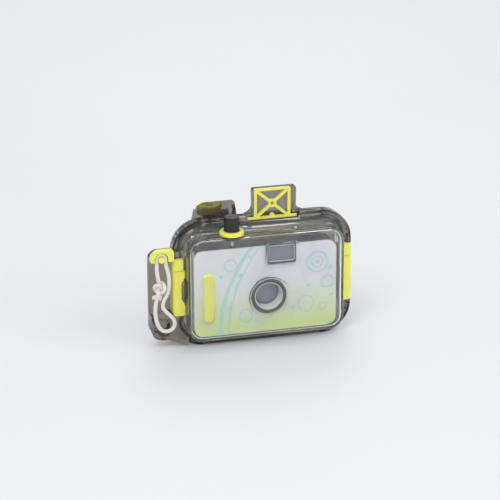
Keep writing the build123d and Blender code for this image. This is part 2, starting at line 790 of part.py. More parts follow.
def sight_frame():
    """Rectangular frame with crossed bars, a sighting ring and a hinge bar along its foot."""
    front = sight_axis_y - sight_thickness / 2
    back = sight_axis_y + sight_thickness / 2
    low = sight_axis_z
    high = sight_top
    width = sight_width
    outer = slab(width, high - low, 1.0, front, back, sight_x, (low + high) / 2)
    open_width = width - 2 * sight_side
    open_low = low + sight_bar_radius
    open_high = high - sight_side + 0.5
    frame = outer - block(sight_x - open_width / 2, sight_x + open_width / 2, front - 1, back + 1,
                          open_low, open_high)
    middle = (open_low + open_high) / 2
    for way in (-1, 1):
        rise = open_high - open_low
        slope = math.degrees(math.atan2(way * rise, open_width))
        length = math.hypot(rise, open_width) + 2
        bar = Pos(sight_x, sight_axis_y, middle) * Rot(0, -slope, 0)
        bar = bar * Box(length, sight_thickness - 0.4, sight_cross)
        frame = frame + (bar & block(sight_left + 1, sight_right - 1, front, back, low + 0.5, high - 0.5))
    frame = frame + rod_y(sight_eye_radius, front, back, sight_x, middle)
    frame = frame + rod_y(sight_bump_radius, front, back, sight_x, open_low + 0.2)
    bar_start = sight_x - sight_bar_length / 2
    bar_end = bar_start + sight_bar_length
    frame = frame + rod_x(sight_bar_radius, bar_start, bar_end, sight_axis_y, sight_axis_z)
    return frame - rod_y(sight_eye_hole, front - 1, back + 1, sight_x, middle)


def camera_case(front, back, grow=0.0):
    """The camera's rounded outline, as a slab that can be made smaller all round."""
    return slab(camera_width + 2 * grow, camera_height + 2 * grow, camera_corner + grow, front, back,
                camera_shift, camera_middle)


def above(z):
    """Everything over a height, for cutting the camera's covers at their seam."""
    return block(-100, 100, -50, 50, z, 200)


def thumbwheel_slot(gap):
    """Space round the thumbwheel and the drive wheel behind it."""
    low = thumbwheel_z - gap
    high = thumbwheel_z + thumbwheel_height + gap
    slot = rod_z(thumbwheel_radius + gap, low, high, spool_x, spool_y)
    return slot + block(spool_x - thumbwheel_radius - gap, knob_x + drive_wheel_radius + 1.0, spool_y,
                        inner_back, drive_wheel_z - gap, drive_wheel_z + drive_wheel_height + gap)


def finder_gap(front, back):
    """Gap in the covers that the finder's frame stands in."""
    half = finder_width / 2
    return block(finder_x - half, finder_x + half, front, back, finder_z - finder_height / 2, camera_top + 1)


def front_cover():
    """White moulded front cover of the camera."""
    cover = camera_case(-camera_front, -running_gap)
    cover = cover - camera_case(-camera_front + camera_wall, 1, -camera_wall)
    lid = block(-100, 100, -camera_front + camera_wall, 10, cover_seam, 200)
    cover = cover - lid - rod_y(bezel_radius - 1.5, -camera_front - 1, -camera_front + 3, lens_x, lens_z)
    return cover - finder_gap(-camera_front - 1, -camera_front + 3)


def front_panel():
    """Thin decorated panel on the front cover, with holes for the lens and the finder."""
    panel = camera_case(-panel_front, -camera_front)
    panel = panel - rod_y(bezel_radius - 1.5, -panel_front - 1, 0, lens_x, lens_z)
    return panel - finder_gap(-panel_front - 1, 0)


def back_door():
    """Black hinged back door of the camera."""
    door = camera_case(running_gap, camera_back) - camera_case(-1, camera_back - camera_wall, -camera_wall)
    door = door - above(cover_seam) - thumbwheel_slot(0.5)
    half = eyepiece_width / 2 + running_gap
    low = finder_z - eyepiece_height / 2 - running_gap
    return door - block(finder_x - half, finder_x + half, 0, camera_back + 1, low, camera_top)


def top_cover():
    """Black top cover with the finder's hump and holes for the release, crank and counter."""
    inside = -camera_front + camera_wall + running_gap
    cover = camera_case(inside, camera_back) & above(cover_seam + slide_gap)
    hump = block(finder_x - finder_width / 2 + 1, finder_x + finder_width / 2 - 1, inside, camera_back - 1,
                 camera_top - 1, finder_z + finder_height / 2 - 0.6)
    cover = cover + hump
    cover = cover - block(camera_left + camera_wall, camera_right - camera_wall, inside + camera_wall,
                          camera_back - camera_wall, cover_seam - 1, camera_top - camera_wall)
    cover = cover - rod_z(release_radius + slide_gap, cover_seam, camera_top + 1, button_x, button_y)
    cover = cover - block(finder_x - finder_glass_width / 2, finder_x + finder_glass_width / 2, inside - 1,
                          camera_back + 1, cover_seam - 1, finder_z + finder_glass_height / 2)
    cover = cover - rod_z(rewind_shaft_radius + slide_gap, cover_seam, camera_top + 1, cassette_x, cassette_y)
    return cover - rod_z(counter_window_radius, cover_seam, camera_top + 1, counter_x, counter_window_y)


def chassis():
    """Black chassis: film chambers, light box, film gate and the seat of the shutter."""
    body = camera_case(-chassis_front, chassis_back, -camera_wall - 2 * slide_gap)
    body = body - above(cover_seam - 2 * slide_gap)
    for x, y, radius, high in ((cassette_x, cassette_y, cassette_radius, cover_seam - 3),
                               (spool_x, spool_y, thumbwheel_radius, chamber_high)):
        body = body - rod_z(radius, chamber_low, high, x, y)
        body = body - block(x - radius, x + radius, y, camera_back, chamber_low, high)
    body = body - thumbwheel_slot(0.4)
    body = body - rod_z(sprocket_radius + 1.2, chamber_low, chamber_high, sprocket_x, sprocket_y)
    body = body - rod_z(sprocket_pin_radius + running_gap, camera_bottom, thumbwheel_z - part_gap,
                        sprocket_x, sprocket_y)
    release_hole = release_radius + slide_gap
    body = body - rod_z(release_hole, cover_seam - 2 * release_depth, cover_seam, button_x, button_y)
    body = body - rod_y(shutter_radius + 0.4, -chassis_front - 1, shutter_seat, lens_x, lens_z)
    throat_y = shutter_seat + 5
    gate = Plane.XZ * Pos(lens_x, lens_z) * Rectangle(film_width, film_height)
    throat = Plane.XZ * Pos(lens_x, lens_z) * Rectangle(film_width / 3, film_height / 2.4)
    body = body - loft([Pos(0, chassis_back + 0.01, 0) * gate, Pos(0, throat_y, 0) * throat])
    body = body - rod_y(rear_lens_radius, shutter_seat - 1, throat_y + 1, lens_x, lens_z)
    half = finder_glass_width / 2 + 1
    body = body - block(finder_x - half, finder_x + half, -camera_front, camera_back,
                        finder_z - finder_glass_height / 2 - 2, camera_top)
    body = body - rod_z(spool_pin_radius + running_gap, camera_bottom, cover_seam, spool_x, spool_y)
    body = body - rod_z(rewind_shaft_radius + slide_gap, cover_seam - 4, camera_top, cassette_x, cassette_y)
    body = body - rod_z(sprocket_pin_radius + running_gap, cover_seam - 2, camera_top, counter_x, counter_y)
    return body - screw_places(screw_radius, screw_length + 1)


def screw_places(radius, length):
    """Rods where the four screws hold the front cover to the chassis."""
    low = camera_bottom + screw_inset + 2
    high = cover_seam - screw_inset - 2
    places = [(camera_left + screw_inset, low), (camera_right - screw_inset, low),
              (camera_left + screw_inset, high), (camera_right - screw_inset, high)]
    return [rod_y(radius, -chassis_front, -chassis_front + length, x, z) for x, z in places]


def camera_screws():
    """Four small screws behind the front cover."""
    head_front = -chassis_front - screw_head_height
    return [
        screw + rod_y(screw_head_radius, head_front, -chassis_front, screw.center().X, screw.center().Z)
        for screw in screw_places(screw_radius, screw_length)
    ]


def lens_bezel():
    """Black ring round the lens, standing on the panel."""
    ring = rod_y(bezel_radius, -bezel_front, -panel_front, lens_x, lens_z)
    ring = fillet(ring.faces().sort_by(Axis.Y)[0].edges(), 0.8)
    ring = ring + rod_y(bezel_radius - 1.6, -panel_front, -chassis_front - part_gap, lens_x, lens_z)
    return ring - rod_y(cup_radius + running_gap, -bezel_front - 1, 0, lens_x, lens_z)


def lens_cup():
    """Tapered bright wall between the bezel and the front lens."""
    front = -bezel_front + cup_lip
    rear = -lens_floor
    outer = rod_y(cup_radius, front, rear, lens_x, lens_z)
    taper = Rot(90, 0, 0) * Cone(cup_rear, cup_radius - cup_wall, rear - front)
    return outer - Pos(lens_x, (front + rear) / 2, lens_z) * taper


def lens_disc(radius, edge_y, thickness, bulge):
    """Lens with a domed front: a disc cut by a large sphere."""
    disc = rod_y(radius, edge_y - 2 * bulge, edge_y + thickness, lens_x, lens_z)
    dome = (radius**2 + bulge**2) / (2 * bulge)
    return disc & (Pos(lens_x, edge_y - bulge + dome, lens_z) * Sphere(dome))


def shutter_blade():
    """Thin blade on a pivot beside the lens, covering the aperture at rest."""
    back = shutter_seat - shutter_plate_thickness - shutter_gap
    front = back - plate_thickness
    x = lens_x + blade_pivot_x
    z = lens_z + blade_pivot_z
    arm = [(x, z + 2), (lens_x, lens_z + blade_radius), (lens_x, lens_z - blade_radius), (x, z - 2)]
    blade = rod_y(2, front, back, x, z) + rod_y(blade_radius, front, back, lens_x, lens_z)
    blade = blade + prism_y(arm, front, back)
    return blade - rod_y(blade_pin_radius + running_gap, front - 1, back + 1, x, z)


def shutter_plate():
    """Plate at the back of the shutter with the aperture and the blade's pivot pin."""
    front = shutter_seat - shutter_plate_thickness
    pin_front = front - 2 * shutter_gap - plate_thickness
    plate = rod_y(shutter_radius, front, shutter_seat, lens_x, lens_z)
    plate = plate - rod_y(aperture_radius, front - 1, shutter_seat + 1, lens_x, lens_z)
    x = lens_x + blade_pivot_x
    z = lens_z + blade_pivot_z
    return plate + rod_y(blade_pin_radius, pin_front, front + 0.1, x, z)


def finder_frame():
    """Dark finder frame with a stepped window, standing over the panel's top edge."""
    wide = finder_width - 2 * slide_gap
    high = finder_height - 2 * slide_gap
    frame = slab(wide, high, 1.5, -finder_front, -camera_front + camera_wall, finder_x, finder_z)
    frame = frame - slab(finder_glass_width + 2 * finder_step, finder_glass_height + 2 * finder_step, 1.0,
                         -finder_front - 1, -finder_front + 0.8, finder_x, finder_z)
    return frame - slab(finder_glass_width, finder_glass_height, 0.6, -finder_front - 1, 0,
                        finder_x, finder_z)


def thumbwheel():
    """Knurled winding wheel of the camera, on the take-up spool's axis."""
    high = thumbwheel_z + thumbwheel_height
    wheel = toothed_wheel(thumbwheel_radius, 0.35, thumbwheel_teeth, thumbwheel_z, high, spool_x, spool_y)
    return wheel - rod_z(spool_pin_radius, thumbwheel_z - 1, high + 1, spool_x, spool_y)


def take_up_spool():
    """Spool that the film winds on, with two slots for its end."""
    low = chamber_low + slide_gap
    high = chamber_high - slide_gap
    flange = 1.2
    spool = rod_z(spool_radius, low, high, spool_x, spool_y)
    for z in (low, high - flange):
        spool = spool + rod_z(spool_radius + spool_flange, z, z + flange, spool_x, spool_y)
    pin_top = thumbwheel_z + thumbwheel_height
    spool = spool + rod_z(spool_pin_radius, camera_bottom + camera_wall + 0.7, pin_top, spool_x, spool_y)
    slot = block(spool_x - spool_radius, spool_x + spool_radius, spool_y - 0.5, spool_y + 0.5,
                 lens_z - film_height / 2, lens_z + film_height / 2)
    return spool - (slot - rod_z(spool_radius - 3, low, high, spool_x, spool_y))


def sprocket():
    """Two toothed rims on one shaft, which the film's edge holes turn."""
    reach = film_height / 2 + 2
    low = camera_bottom + camera_wall + 0.9
    shaft = rod_z(sprocket_pin_radius, low, chamber_high + 1, sprocket_x, sprocket_y)
    drum = rod_z(sprocket_radius - 1.6, lens_z - reach - 6, lens_z + reach + 6, sprocket_x, sprocket_y)
    shape = shaft + drum
    for middle in (lens_z - reach, lens_z + reach):
        shape = shape + toothed_wheel(sprocket_radius, 1.0, sprocket_teeth, middle - 1, middle + 1,
                                      sprocket_x, sprocket_y)
    return shape


def counter_dial():
    """Frame counter's dial under the top cover, on its short pin."""
    low = cover_seam + part_gap
    dial = rod_z(counter_radius, low, low + 0.8, counter_x, counter_y)
    return dial + rod_z(sprocket_pin_radius, cover_seam - 1.9, low + 0.1, counter_x, counter_y)


def rewind_shaft():
    """Rewind knob's shaft with the fork that turns the film cassette."""
    neck = cover_seam - 4.5
    shaft = rod_z(rewind_shaft_radius, neck, camera_top + 1, cassette_x, cassette_y)
    fork = rod_z(rewind_shaft_radius + 1, neck - 0.5, neck, cassette_x, cassette_y)
    tines = [block(cassette_x + x - 0.6, cassette_x + x + 0.6, cassette_y - 0.8, cassette_y + 0.8, neck - 3.5,
                   neck - 0.4) for x in (-1.8, 1.8)]
    return shaft + fork + tines


def rewind_knob():
    """Flat rewind knob on the camera's top, with the folded crank's groove."""
    low = camera_top + 1
    half = crank_width / 2 + 2 * slide_gap
    knob = toothed_wheel(rewind_radius, 0.4, 24, low, low + rewind_height, cassette_x, cassette_y)
    return knob - block(cassette_x - half, cassette_x + rewind_radius + 1,
                        cassette_y - half, cassette_y + half,
                        low + rewind_height / 2, low + rewind_height + 1)


def rewind_crank():
    """Folded crank handle lying in the rewind knob's groove."""
    low = camera_top + 1 + rewind_height / 2
    half = crank_width / 2
    tip = cassette_x + rewind_radius - 1.4
    arm = block(cassette_x - half, tip, cassette_y - half, cassette_y + half, low, low + 1)
    return arm + rod_z(half, low, low + rewind_height, tip - half, cassette_y)


def release_button():
    """Camera's own release button in its top cover."""
    return rod_z(release_radius, cover_seam - release_depth, camera_top + release_proud, button_x, button_y)


def release_lever():
    """Lever that carries the release button's stroke down to the shutter."""
    back = -chassis_front - part_gap
    front = back - lever_thickness
    low = lens_z + lever_rise
    half = lever_width / 2
    strip = block(button_x - half, button_x + half, front, back, low, cover_seam - release_depth)
    return strip + block(button_x - half, lens_x - shutter_radius + 2, front, back, low, low + lever_arm)


os.makedirs("parts", exist_ok=True)
made = {}

# Housing
made["back_shell"] = back_shell()
made["front_shell"] = front_shell()
made["gasket"] = gasket_ring(-seal_gap + 0.02, gasket_depth, gasket_width - 2 * running_gap)
right_latch = latch()
made["latch_right"] = right_latch
made["latch_left"] = mirror(right_latch, about=Plane.YZ)
made["latch_pins"] = both_sides(rod_z(pin_radius, pin_low, pin_high, pin_x, pin_y))

# Strap
wrist_cord = cord_tube(cord_route, cord_diameter, "wrist cord")
print(f"wrist cord least gap to itself {least_self_gap(cord_route, cord_diameter):.2f}")
made["strap_lug"] = strap_lug()
made["wrist_cord"] = wrist_cord
made["cord_knot"] = cord_knot() - wrist_cord

# Push button
clip_low = inner_top - gland_flange - clip_thickness
yellow_ring = rod_z(ring_radius, tub_top, tub_top + ring_height, button_x, button_y)
yellow_ring = fillet(yellow_ring.faces().sort_by(Axis.Z)[-1].edges(), 0.4 * ring_height)
ring_hole = rod_z(button_radius + part_gap, tub_top - 1, rim_height, button_x, button_y)
stem_low = camera_top + release_proud + 2 * slide_gap
made["shutter_button"] = shutter_button()
made["button_ring"] = yellow_ring - ring_hole
made["button_gland"] = button_gland()
made["button_seal"] = seal_ring(stem_radius, button_x, button_y)
made["button_stem"] = rod_z(stem_radius, stem_low, button_top - button_roof, button_x, button_y)
made["stem_clip"] = (rod_z(clip_radius, clip_low, clip_low + clip_thickness, button_x, button_y)
                     - rod_z(stem_radius, clip_low - 1, inner_top, button_x, button_y))
made["button_spring"] = helix_spring(spring_radius, spring_wire, gland_top, skirt_roof, spring_turns,
                                     button_x, button_y)

# Winding knob
drive_wheel_top = drive_wheel_z + drive_wheel_height
screw_slot = block(knob_x - 3, knob_x + 3, knob_y - 0.4, knob_y + 0.4, knob_top - 1, knob_top)
made["winding_knob"] = winding_knob()
made["winding_shaft"] = rod_z(shaft_radius, drive_wheel_z, knob_top - 2.2, knob_x, knob_y)
made["knob_screw"] = rod_z(2.8, knob_top - 1.6, knob_top - 0.4, knob_x, knob_y) - screw_slot
made["winding_gland"] = winding_gland()
made["winding_seal"] = seal_ring(shaft_radius, knob_x, knob_y)
made["drive_wheel"] = (rod_z(drive_wheel_radius, drive_wheel_z, drive_wheel_top, knob_x, knob_y)
                       - rod_z(shaft_radius, drive_wheel_z - 1, drive_wheel_top + 1, knob_x, knob_y))

# Sight
made["sight_frame"] = sight_frame()

# Camera
grip_round = grip_width / 2 - slide_gap
grip = slab(grip_width, grip_length, grip_round, -panel_front - grip_depth, -panel_front,
            grip_x, (grip_top + grip_bottom) / 2)
made["camera_front_cover"] = front_cover()
made["camera_front_panel"] = front_panel()
made["camera_back_door"] = back_door()
made["camera_top_cover"] = top_cover()
made["camera_chassis"] = chassis()
made["camera_screws"] = camera_screws()
made["grip_bar"] = fillet(grip.faces().sort_by(Axis.Y)[0].outer_wire().edges(), 0.57 * grip_depth)

# Lens and shutter
made["lens_bezel"] = lens_bezel()
made["lens_cup"] = lens_cup()
made["front_lens"] = lens_disc(front_lens_radius, -lens_floor, front_lens_thickness, 0.6)
made["aperture_plate"] = (rod_y(shutter_radius, stop_front, stop_front + plate_thickness, lens_x, lens_z)
                          - rod_y(aperture_radius, stop_front - 1, stop_front + 1, lens_x, lens_z))
made["shutter_blade"] = shutter_blade()
made["shutter_plate"] = shutter_plate()
made["rear_lens"] = lens_disc(rear_lens_radius - running_gap, shutter_seat + 0.9, rear_lens_thickness, 0.7)

# Finder
glass_front = -finder_front + finder_glass_thickness
made["finder_frame"] = finder_frame()
made["finder_front_lens"] = slab(finder_glass_width - slide_gap, finder_glass_height - slide_gap, 0.6,
                                 glass_front, glass_front + finder_glass_thickness, finder_x, finder_z)
made["finder_eyepiece"] = slab(eyepiece_width, eyepiece_height, 1.5, camera_back - camera_wall - 0.6,
                               camera_back + 0.8, finder_x, finder_z)

# Film transport and rewind
door_inner = camera_back - camera_wall
plate_back = door_inner - pressure_gap
made["thumbwheel"] = thumbwheel()
made["take_up_spool"] = take_up_spool()
made["film_sprocket"] = sprocket()
made["counter_dial"] = counter_dial()
made["counter_window"] = rod_z(counter_window_radius, camera_top - 1, camera_top, counter_x, counter_window_y)
made["rewind_shaft"] = rewind_shaft()
made["rewind_knob"] = rewind_knob()
made["rewind_crank"] = rewind_crank()
made["pressure_plate"] = slab(film_width + 2 * pressure_margin_x, film_height + 2 * pressure_margin_z, 1.0,
                              plate_back - pressure_thickness, plate_back, lens_x, lens_z)
made["pressure_spring"] = slab(spring_plate_width, spring_plate_height, 1.0, plate_back, door_inner,
                               lens_x, lens_z)

# Release
made["release_button"] = release_button()
made["release_lever"] = release_lever()

for name, shape in made.items():
    pieces = shape if isinstance(shape, list) else [shape]
    solids = [solid for piece in pieces for solid in piece.solids()]
    export_step(solids[0] if len(solids) == 1 else Compound(solids), f"parts/{name}.step")
    box = Compound(solids).bounding_box()
    print(f"{name}: {len(solids)} solids, volume {sum(solid.volume for solid in solids):.0f}, "
          f"X {box.min.X:.1f}..{box.max.X:.1f} Y {box.min.Y:.1f}..{box.max.Y:.1f} "
          f"Z {box.min.Z:.1f}..{box.max.Z:.1f}")
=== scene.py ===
import functools
import json
import logging
import math
from collections.abc import Callable
from dataclasses import dataclass
from enum import Enum
from typing import Any, Optional, Union

import bmesh
import bpy
import numpy as np
from mathutils import Matrix, Vector


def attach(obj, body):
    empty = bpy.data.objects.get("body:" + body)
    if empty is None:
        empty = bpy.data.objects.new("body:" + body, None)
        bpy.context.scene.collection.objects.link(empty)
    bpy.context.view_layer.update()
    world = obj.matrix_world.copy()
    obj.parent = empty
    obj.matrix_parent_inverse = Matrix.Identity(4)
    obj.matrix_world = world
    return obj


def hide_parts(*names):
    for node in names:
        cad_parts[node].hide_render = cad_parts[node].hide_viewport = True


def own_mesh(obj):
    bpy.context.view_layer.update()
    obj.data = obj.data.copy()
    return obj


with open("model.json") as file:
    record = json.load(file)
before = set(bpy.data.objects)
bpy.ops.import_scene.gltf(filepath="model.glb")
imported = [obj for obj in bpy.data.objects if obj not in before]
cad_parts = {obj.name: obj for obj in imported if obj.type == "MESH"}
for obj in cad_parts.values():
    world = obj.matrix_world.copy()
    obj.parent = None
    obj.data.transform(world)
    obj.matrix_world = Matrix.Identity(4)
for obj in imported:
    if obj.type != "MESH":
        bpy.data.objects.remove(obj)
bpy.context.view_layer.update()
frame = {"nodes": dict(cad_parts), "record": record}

log = logging.getLogger("underwater_camera")
MM = 0.001
BODY_OF = {node: body for body, nodes in frame["record"]["behaviour"]["bodies"].items() for node in nodes}

Colour = tuple[float, float, float, float]
Point = tuple[float, float, float]
Piece = bpy.types.Object
Material = bpy.types.Material
Value = Union["Wire", float]


def mm(*values: float) -> tuple[float, ...]:
    """Turns millimetres into metres."""
    return tuple(value * MM for value in values)


def tone(red: float, green: float, blue: float) -> Colour:
    """Turns a screen colour of 0 to 255 into the linear colour that a shader takes.

    Args:
        red: Red as a screen shows it.
        green: Green as a screen shows it.
        blue: Blue as a screen shows it.

    Returns:
        Linear red, green and blue, and an alpha of one.
    """
    shares = [channel / 255.0 for channel in (red, green, blue)]
    linear = [s / 12.92 if s <= 0.04045 else ((s + 0.055) / 1.055) ** 2.4 for s in shares]
    return (linear[0], linear[1], linear[2], 1.0)


def lit(colour: Colour, share: float) -> Colour:
    """The colour with its red, green and blue multiplied by a share, none of them over one."""
    return (*(min(1.0, channel * share) for channel in colour[:3]), 1.0)


def linked(name: str, data: Any) -> Piece:
    """Makes an object and links it to the scene.

    Args:
        name: Name of the object.
        data: Its mesh, curve, lamp or camera.

    Returns:
        The object.
    """
    piece = bpy.data.objects.new(name, data)
    bpy.context.scene.collection.objects.link(piece)
    return piece


# Shader maths

def arithmetic(operation: str, swapped: bool = False) -> Callable[["Wire", Value], "Wire"]:
    """Makes the method that adds a Math node of two values.

    Args:
        operation: The node's operation.
        swapped: Whether the other value comes first, as in 1 - mask.

    Returns:
        The method.
    """
    def method(self: "Wire", other: Value) -> "Wire":
        """Adds the node and gives its output."""
        first, second = (other, self) if swapped else (self, other)
        return self.maths(operation, first, second)

    return method


class Wire:
    """One output of a material's nodes. Arithmetic on it adds Math nodes.

    least and most give the smaller and the larger of two values.
    """

    def __init__(self, graph: "Graph", socket: Any) -> None:
        """Keeps the socket and the graph that it belongs to."""
        self.graph = graph
        self.socket = socket

    def maths(self, operation: str, *values: Value) -> "Wire":
        """Adds one Math node with these values and gives its output."""
        return self.graph.node("ShaderNodeMath", {"operation": operation}, dict(enumerate(values)))

    __add__, __radd__ = arithmetic("ADD"), arithmetic("ADD", swapped=True)
    __sub__, __rsub__ = arithmetic("SUBTRACT"), arithmetic("SUBTRACT", swapped=True)
    __mul__, __rmul__ = arithmetic("MULTIPLY"), arithmetic("MULTIPLY", swapped=True)
    __truediv__, __rtruediv__ = arithmetic("DIVIDE"), arithmetic("DIVIDE", swapped=True)
    __pow__ = arithmetic("POWER")
    least = arithmetic("MINIMUM")
    most = arithmetic("MAXIMUM")

    def __abs__(self) -> "Wire":
        """The value without its sign."""
        return self.maths("ABSOLUTE", self)

    def below(self, edge: Value, soft: float) -> "Wire":
        """One where the value is under the edge and zero over it, with a soft step.

        Args:
            edge: Where the step is.
            soft: Half the width of the step.

        Returns:
            The mask.
        """
        return ((edge - self) / (2.0 * soft) + 0.5).least(1.0).most(0.0)


def away(across: Wire, up: Wire, place: tuple[float, float]) -> Wire:
    """How far two coordinates are from a place: the root of the sum of their squared differences."""
    return ((across - place[0]) ** 2.0 + (up - place[1]) ** 2.0) ** 0.5


class Graph:
    """Nodes of one material, ending in one shader."""

    def __init__(self, name: str) -> None:
        """Makes the empty material.

        Args:
            name: Name of the material.
        """
        self.material = bpy.data.materials.new(name)
        self.material.use_nodes = True
        self.tree = self.material.node_tree
        self.tree.nodes.clear()
        self.output = self.tree.nodes.new("ShaderNodeOutputMaterial")

    def node(self, kind: str, settings: Optional[dict[str, Any]] = None,
             inputs: Optional[dict[Union[int, str], Any]] = None, out: Union[int, str] = 0) -> Wire:
        """Adds any node.

        Args:
            kind: The node's type.
            settings: Attributes, which are set first.
            inputs: Values or wires by socket name or number.
            out: Name or number of the output that is returned.

        Returns:
            The chosen output.
        """
        node = self.tree.nodes.new(kind)
        for key, value in (settings or {}).items():
            setattr(node, key, value)
        for key, value in (inputs or {}).items():
            if isinstance(value, Wire):
                self.tree.links.new(value.socket, node.inputs[key])
            else:
                node.inputs[key].default_value = value
        return Wire(self, node.outputs[out])

    def place(self) -> Wire:
        """Object coordinates, in metres."""
        return self.node("ShaderNodeTexCoord", out="Object")

    def front_view(self, vector: Wire) -> tuple[Wire, Wire]:
        """The numbers of a vector across and up, X and Z."""
        across = self.node("ShaderNodeSeparateXYZ", inputs={0: vector})
        return across, Wire(self, across.socket.node.outputs[2])

    def stretch(self, vector: Wire, scale: Point) -> Wire:
        """The vector multiplied by a scale on each axis."""
        return self.node("ShaderNodeVectorMath", {"operation": "MULTIPLY"}, {0: vector, 1: scale})

    def noise(self, vector: Wire, size: float, detail: float = 2.0, roughness: float = 0.5) -> Wire:
        """Soft random value between 0 and 1.

        Args:
            vector: Where it is read.
            size: Size of its features in metres.
            detail: Number of finer layers.
            roughness: Strength of the finer layers.

        Returns:
            The value.
        """
        return self.node("ShaderNodeTexNoise", None, {
            "Vector": vector, "Scale": 1.0 / size, "Detail": detail, "Roughness": roughness}, "Fac")

    def blend(self, share: Value, first: Any, second: Any) -> Wire:
        """Mixes two colours.

        Args:
            share: Share of the second colour.
            first: Colour at a share of zero.
            second: Colour at a share of one.

        Returns:
            The mixed colour.
        """
        return self.node("ShaderNodeMix", {"data_type": "RGBA"}, {0: share, 6: first, 7: second}, 2)

    def bump(self, height: Wire, depth: float, strength: float = 1.0) -> Wire:
        """Normal of a surface with this height.

        Args:
            height: Height from 0 to 1.
            depth: What a height of one stands for, in metres.
            strength: Share of the effect.

        Returns:
            The normal.
        """
        return self.node("ShaderNodeBump", None, {"Height": height, "Distance": depth, "Strength": strength})

    def surface(self, colour: Wire, rough: Wire, normal: Optional[Wire] = None,
                fixed: Optional[dict[str, Any]] = None) -> Wire:
        """Adds the Principled shader.

        Args:
            colour: Base colour.
            rough: Roughness.
            normal: Normal, where the surface has a relief.
            fixed: Plain values by socket name.

        Returns:
            The shader.
        """
        inputs = {**(fixed or {}), "Base Color": colour, "Roughness": rough}
        if normal is not None:
            inputs["Normal"] = normal
        return self.node("ShaderNodeBsdfPrincipled", None, inputs, "BSDF")

    def finish(self, shader: Wire) -> Material:
        """Joins the shader to the material's output and gives the material."""
        self.tree.links.new(shader.socket, self.output.inputs["Surface"])
        return self.material


# Finishes

@dataclass(frozen=True)
class MouldedPlastic:
    """Opaque moulded plastic with faint flow marks, specks and a fine grain."""

    name: str
    colour: Colour
    roughness: float = 0.34
    mottle: float = 0.06
    coat: float = 0.0
    glow: float = 0.0
    flow_size: float = 16 * MM
    speck_size: float = 0.9 * MM
    grain_size: float = 0.35 * MM
    grain_depth: float = 0.010 * MM

    def material(self) -> Material:
        """Builds the material. The flow marks are drawn out along Z.

        Returns:
            The material.
        """
        graph = Graph(self.name)
        here = graph.place()
        flow = graph.noise(graph.stretch(here, (1.0, 1.0, 0.45)), self.flow_size, 3.0, 0.55)
        speck = graph.noise(here, self.speck_size)
        normal = graph.bump(graph.noise(here, self.grain_size, 2.0, 0.6), self.grain_depth)
        dark, light = lit(self.colour, 1.0 - 1.6 * self.mottle), lit(self.colour, 1.0 + self.mottle)
        colour = graph.blend(0.7 * flow + 0.3 * speck, dark, light)
        rough = self.roughness + 0.16 * (flow - 0.5) + 0.10 * (speck - 0.5)
        return graph.finish(graph.surface(colour, rough, normal, {
            "IOR": 1.5, "Coat Weight": self.coat, "Coat Roughness": 0.08, "Subsurface Weight": self.glow,
            "Subsurface Radius": (1.0, 0.9, 0.4), "Subsurface Scale": 0.8 * MM}))


@dataclass(frozen=True)
class ClearPlastic:
    """See-through moulded plastic, clear or tinted. Lamps shine through it with a power of its tint."""

    name: str
    tint: Colour
    roughness: float = 0.03
    haze: float = 0.10
    milk: float = 0.03
    shade: float = 0.5
    index: float = 1.46
    smear_size: float = 9 * MM
    ripple_size: float = 14 * MM
    ripple_depth: float = 0.05 * MM

    def material(self) -> Material:
        """Builds the material.

        Returns:
            The material.
        """
        graph = Graph(self.name)
        here = graph.place()
        smear = graph.noise(here, self.smear_size, 3.0, 0.6)
        colour = graph.blend(smear, lit(self.tint, 1.0 - self.haze), self.tint)
        rough = self.roughness + 0.05 * (smear - 0.45).most(0.0)
        normal = graph.bump(graph.noise(here, self.ripple_size, 1.0), self.ripple_depth)
        solid = graph.surface(colour, rough, normal,
                              {"Transmission Weight": 1.0 - self.milk, "IOR": self.index})
        passed = (*(channel ** self.shade for channel in self.tint[:3]), 1.0)
        clear = graph.node("ShaderNodeBsdfTransparent", None, {"Color": passed})
        shadow = graph.node("ShaderNodeLightPath", out="Is Shadow Ray")
        return graph.finish(graph.node("ShaderNodeMixShader", None, {0: shadow, 1: solid, 2: clear}))


@dataclass(frozen=True)
class Metal:
    """Bare metal with fine lines drawn along Z."""

    name: str
    colour: Colour
    roughness: float = 0.26
    line_size: float = 0.12 * MM
    line_depth: float = 0.004 * MM
    cloud_size: float = 6 * MM

    def material(self) -> Material:
        """Builds the material.

        Returns:
            The material.
        """
        graph = Graph(self.name)
        here = graph.place()
        lines = graph.noise(graph.stretch(here, (1.0, 1.0, 0.06)), self.line_size)
        cloud = graph.noise(here, self.cloud_size)
        colour = graph.blend(cloud, lit(self.colour, 0.82), self.colour)
        rough = self.roughness + 0.12 * (lines - 0.5) + 0.10 * (cloud - 0.5)
        normal = graph.bump(lines, self.line_depth)
        return graph.finish(graph.surface(colour, rough, normal, {"Metallic": 1.0}))


@dataclass(frozen=True)
class SealRubber:
    """Matte rubber with a slight bloom."""

    name: str
    colour: Colour
    bloom_size: float = 3 * MM
    grain_size: float = 0.2 * MM
    grain_depth: float = 0.02 * MM

    def material(self) -> Material:
        """Builds the material.

        Returns:
            The material.
        """
        graph = Graph(self.name)
        here = graph.place()
        bloom = graph.noise(here, self.bloom_size, 3.0)
        colour = graph.blend(bloom, self.colour, lit(self.colour, 1.6))
        normal = graph.bump(graph.noise(here, self.grain_size), self.grain_depth)
        return graph.finish(graph.surface(colour, 0.72 + 0.15 * (bloom - 0.5), normal))


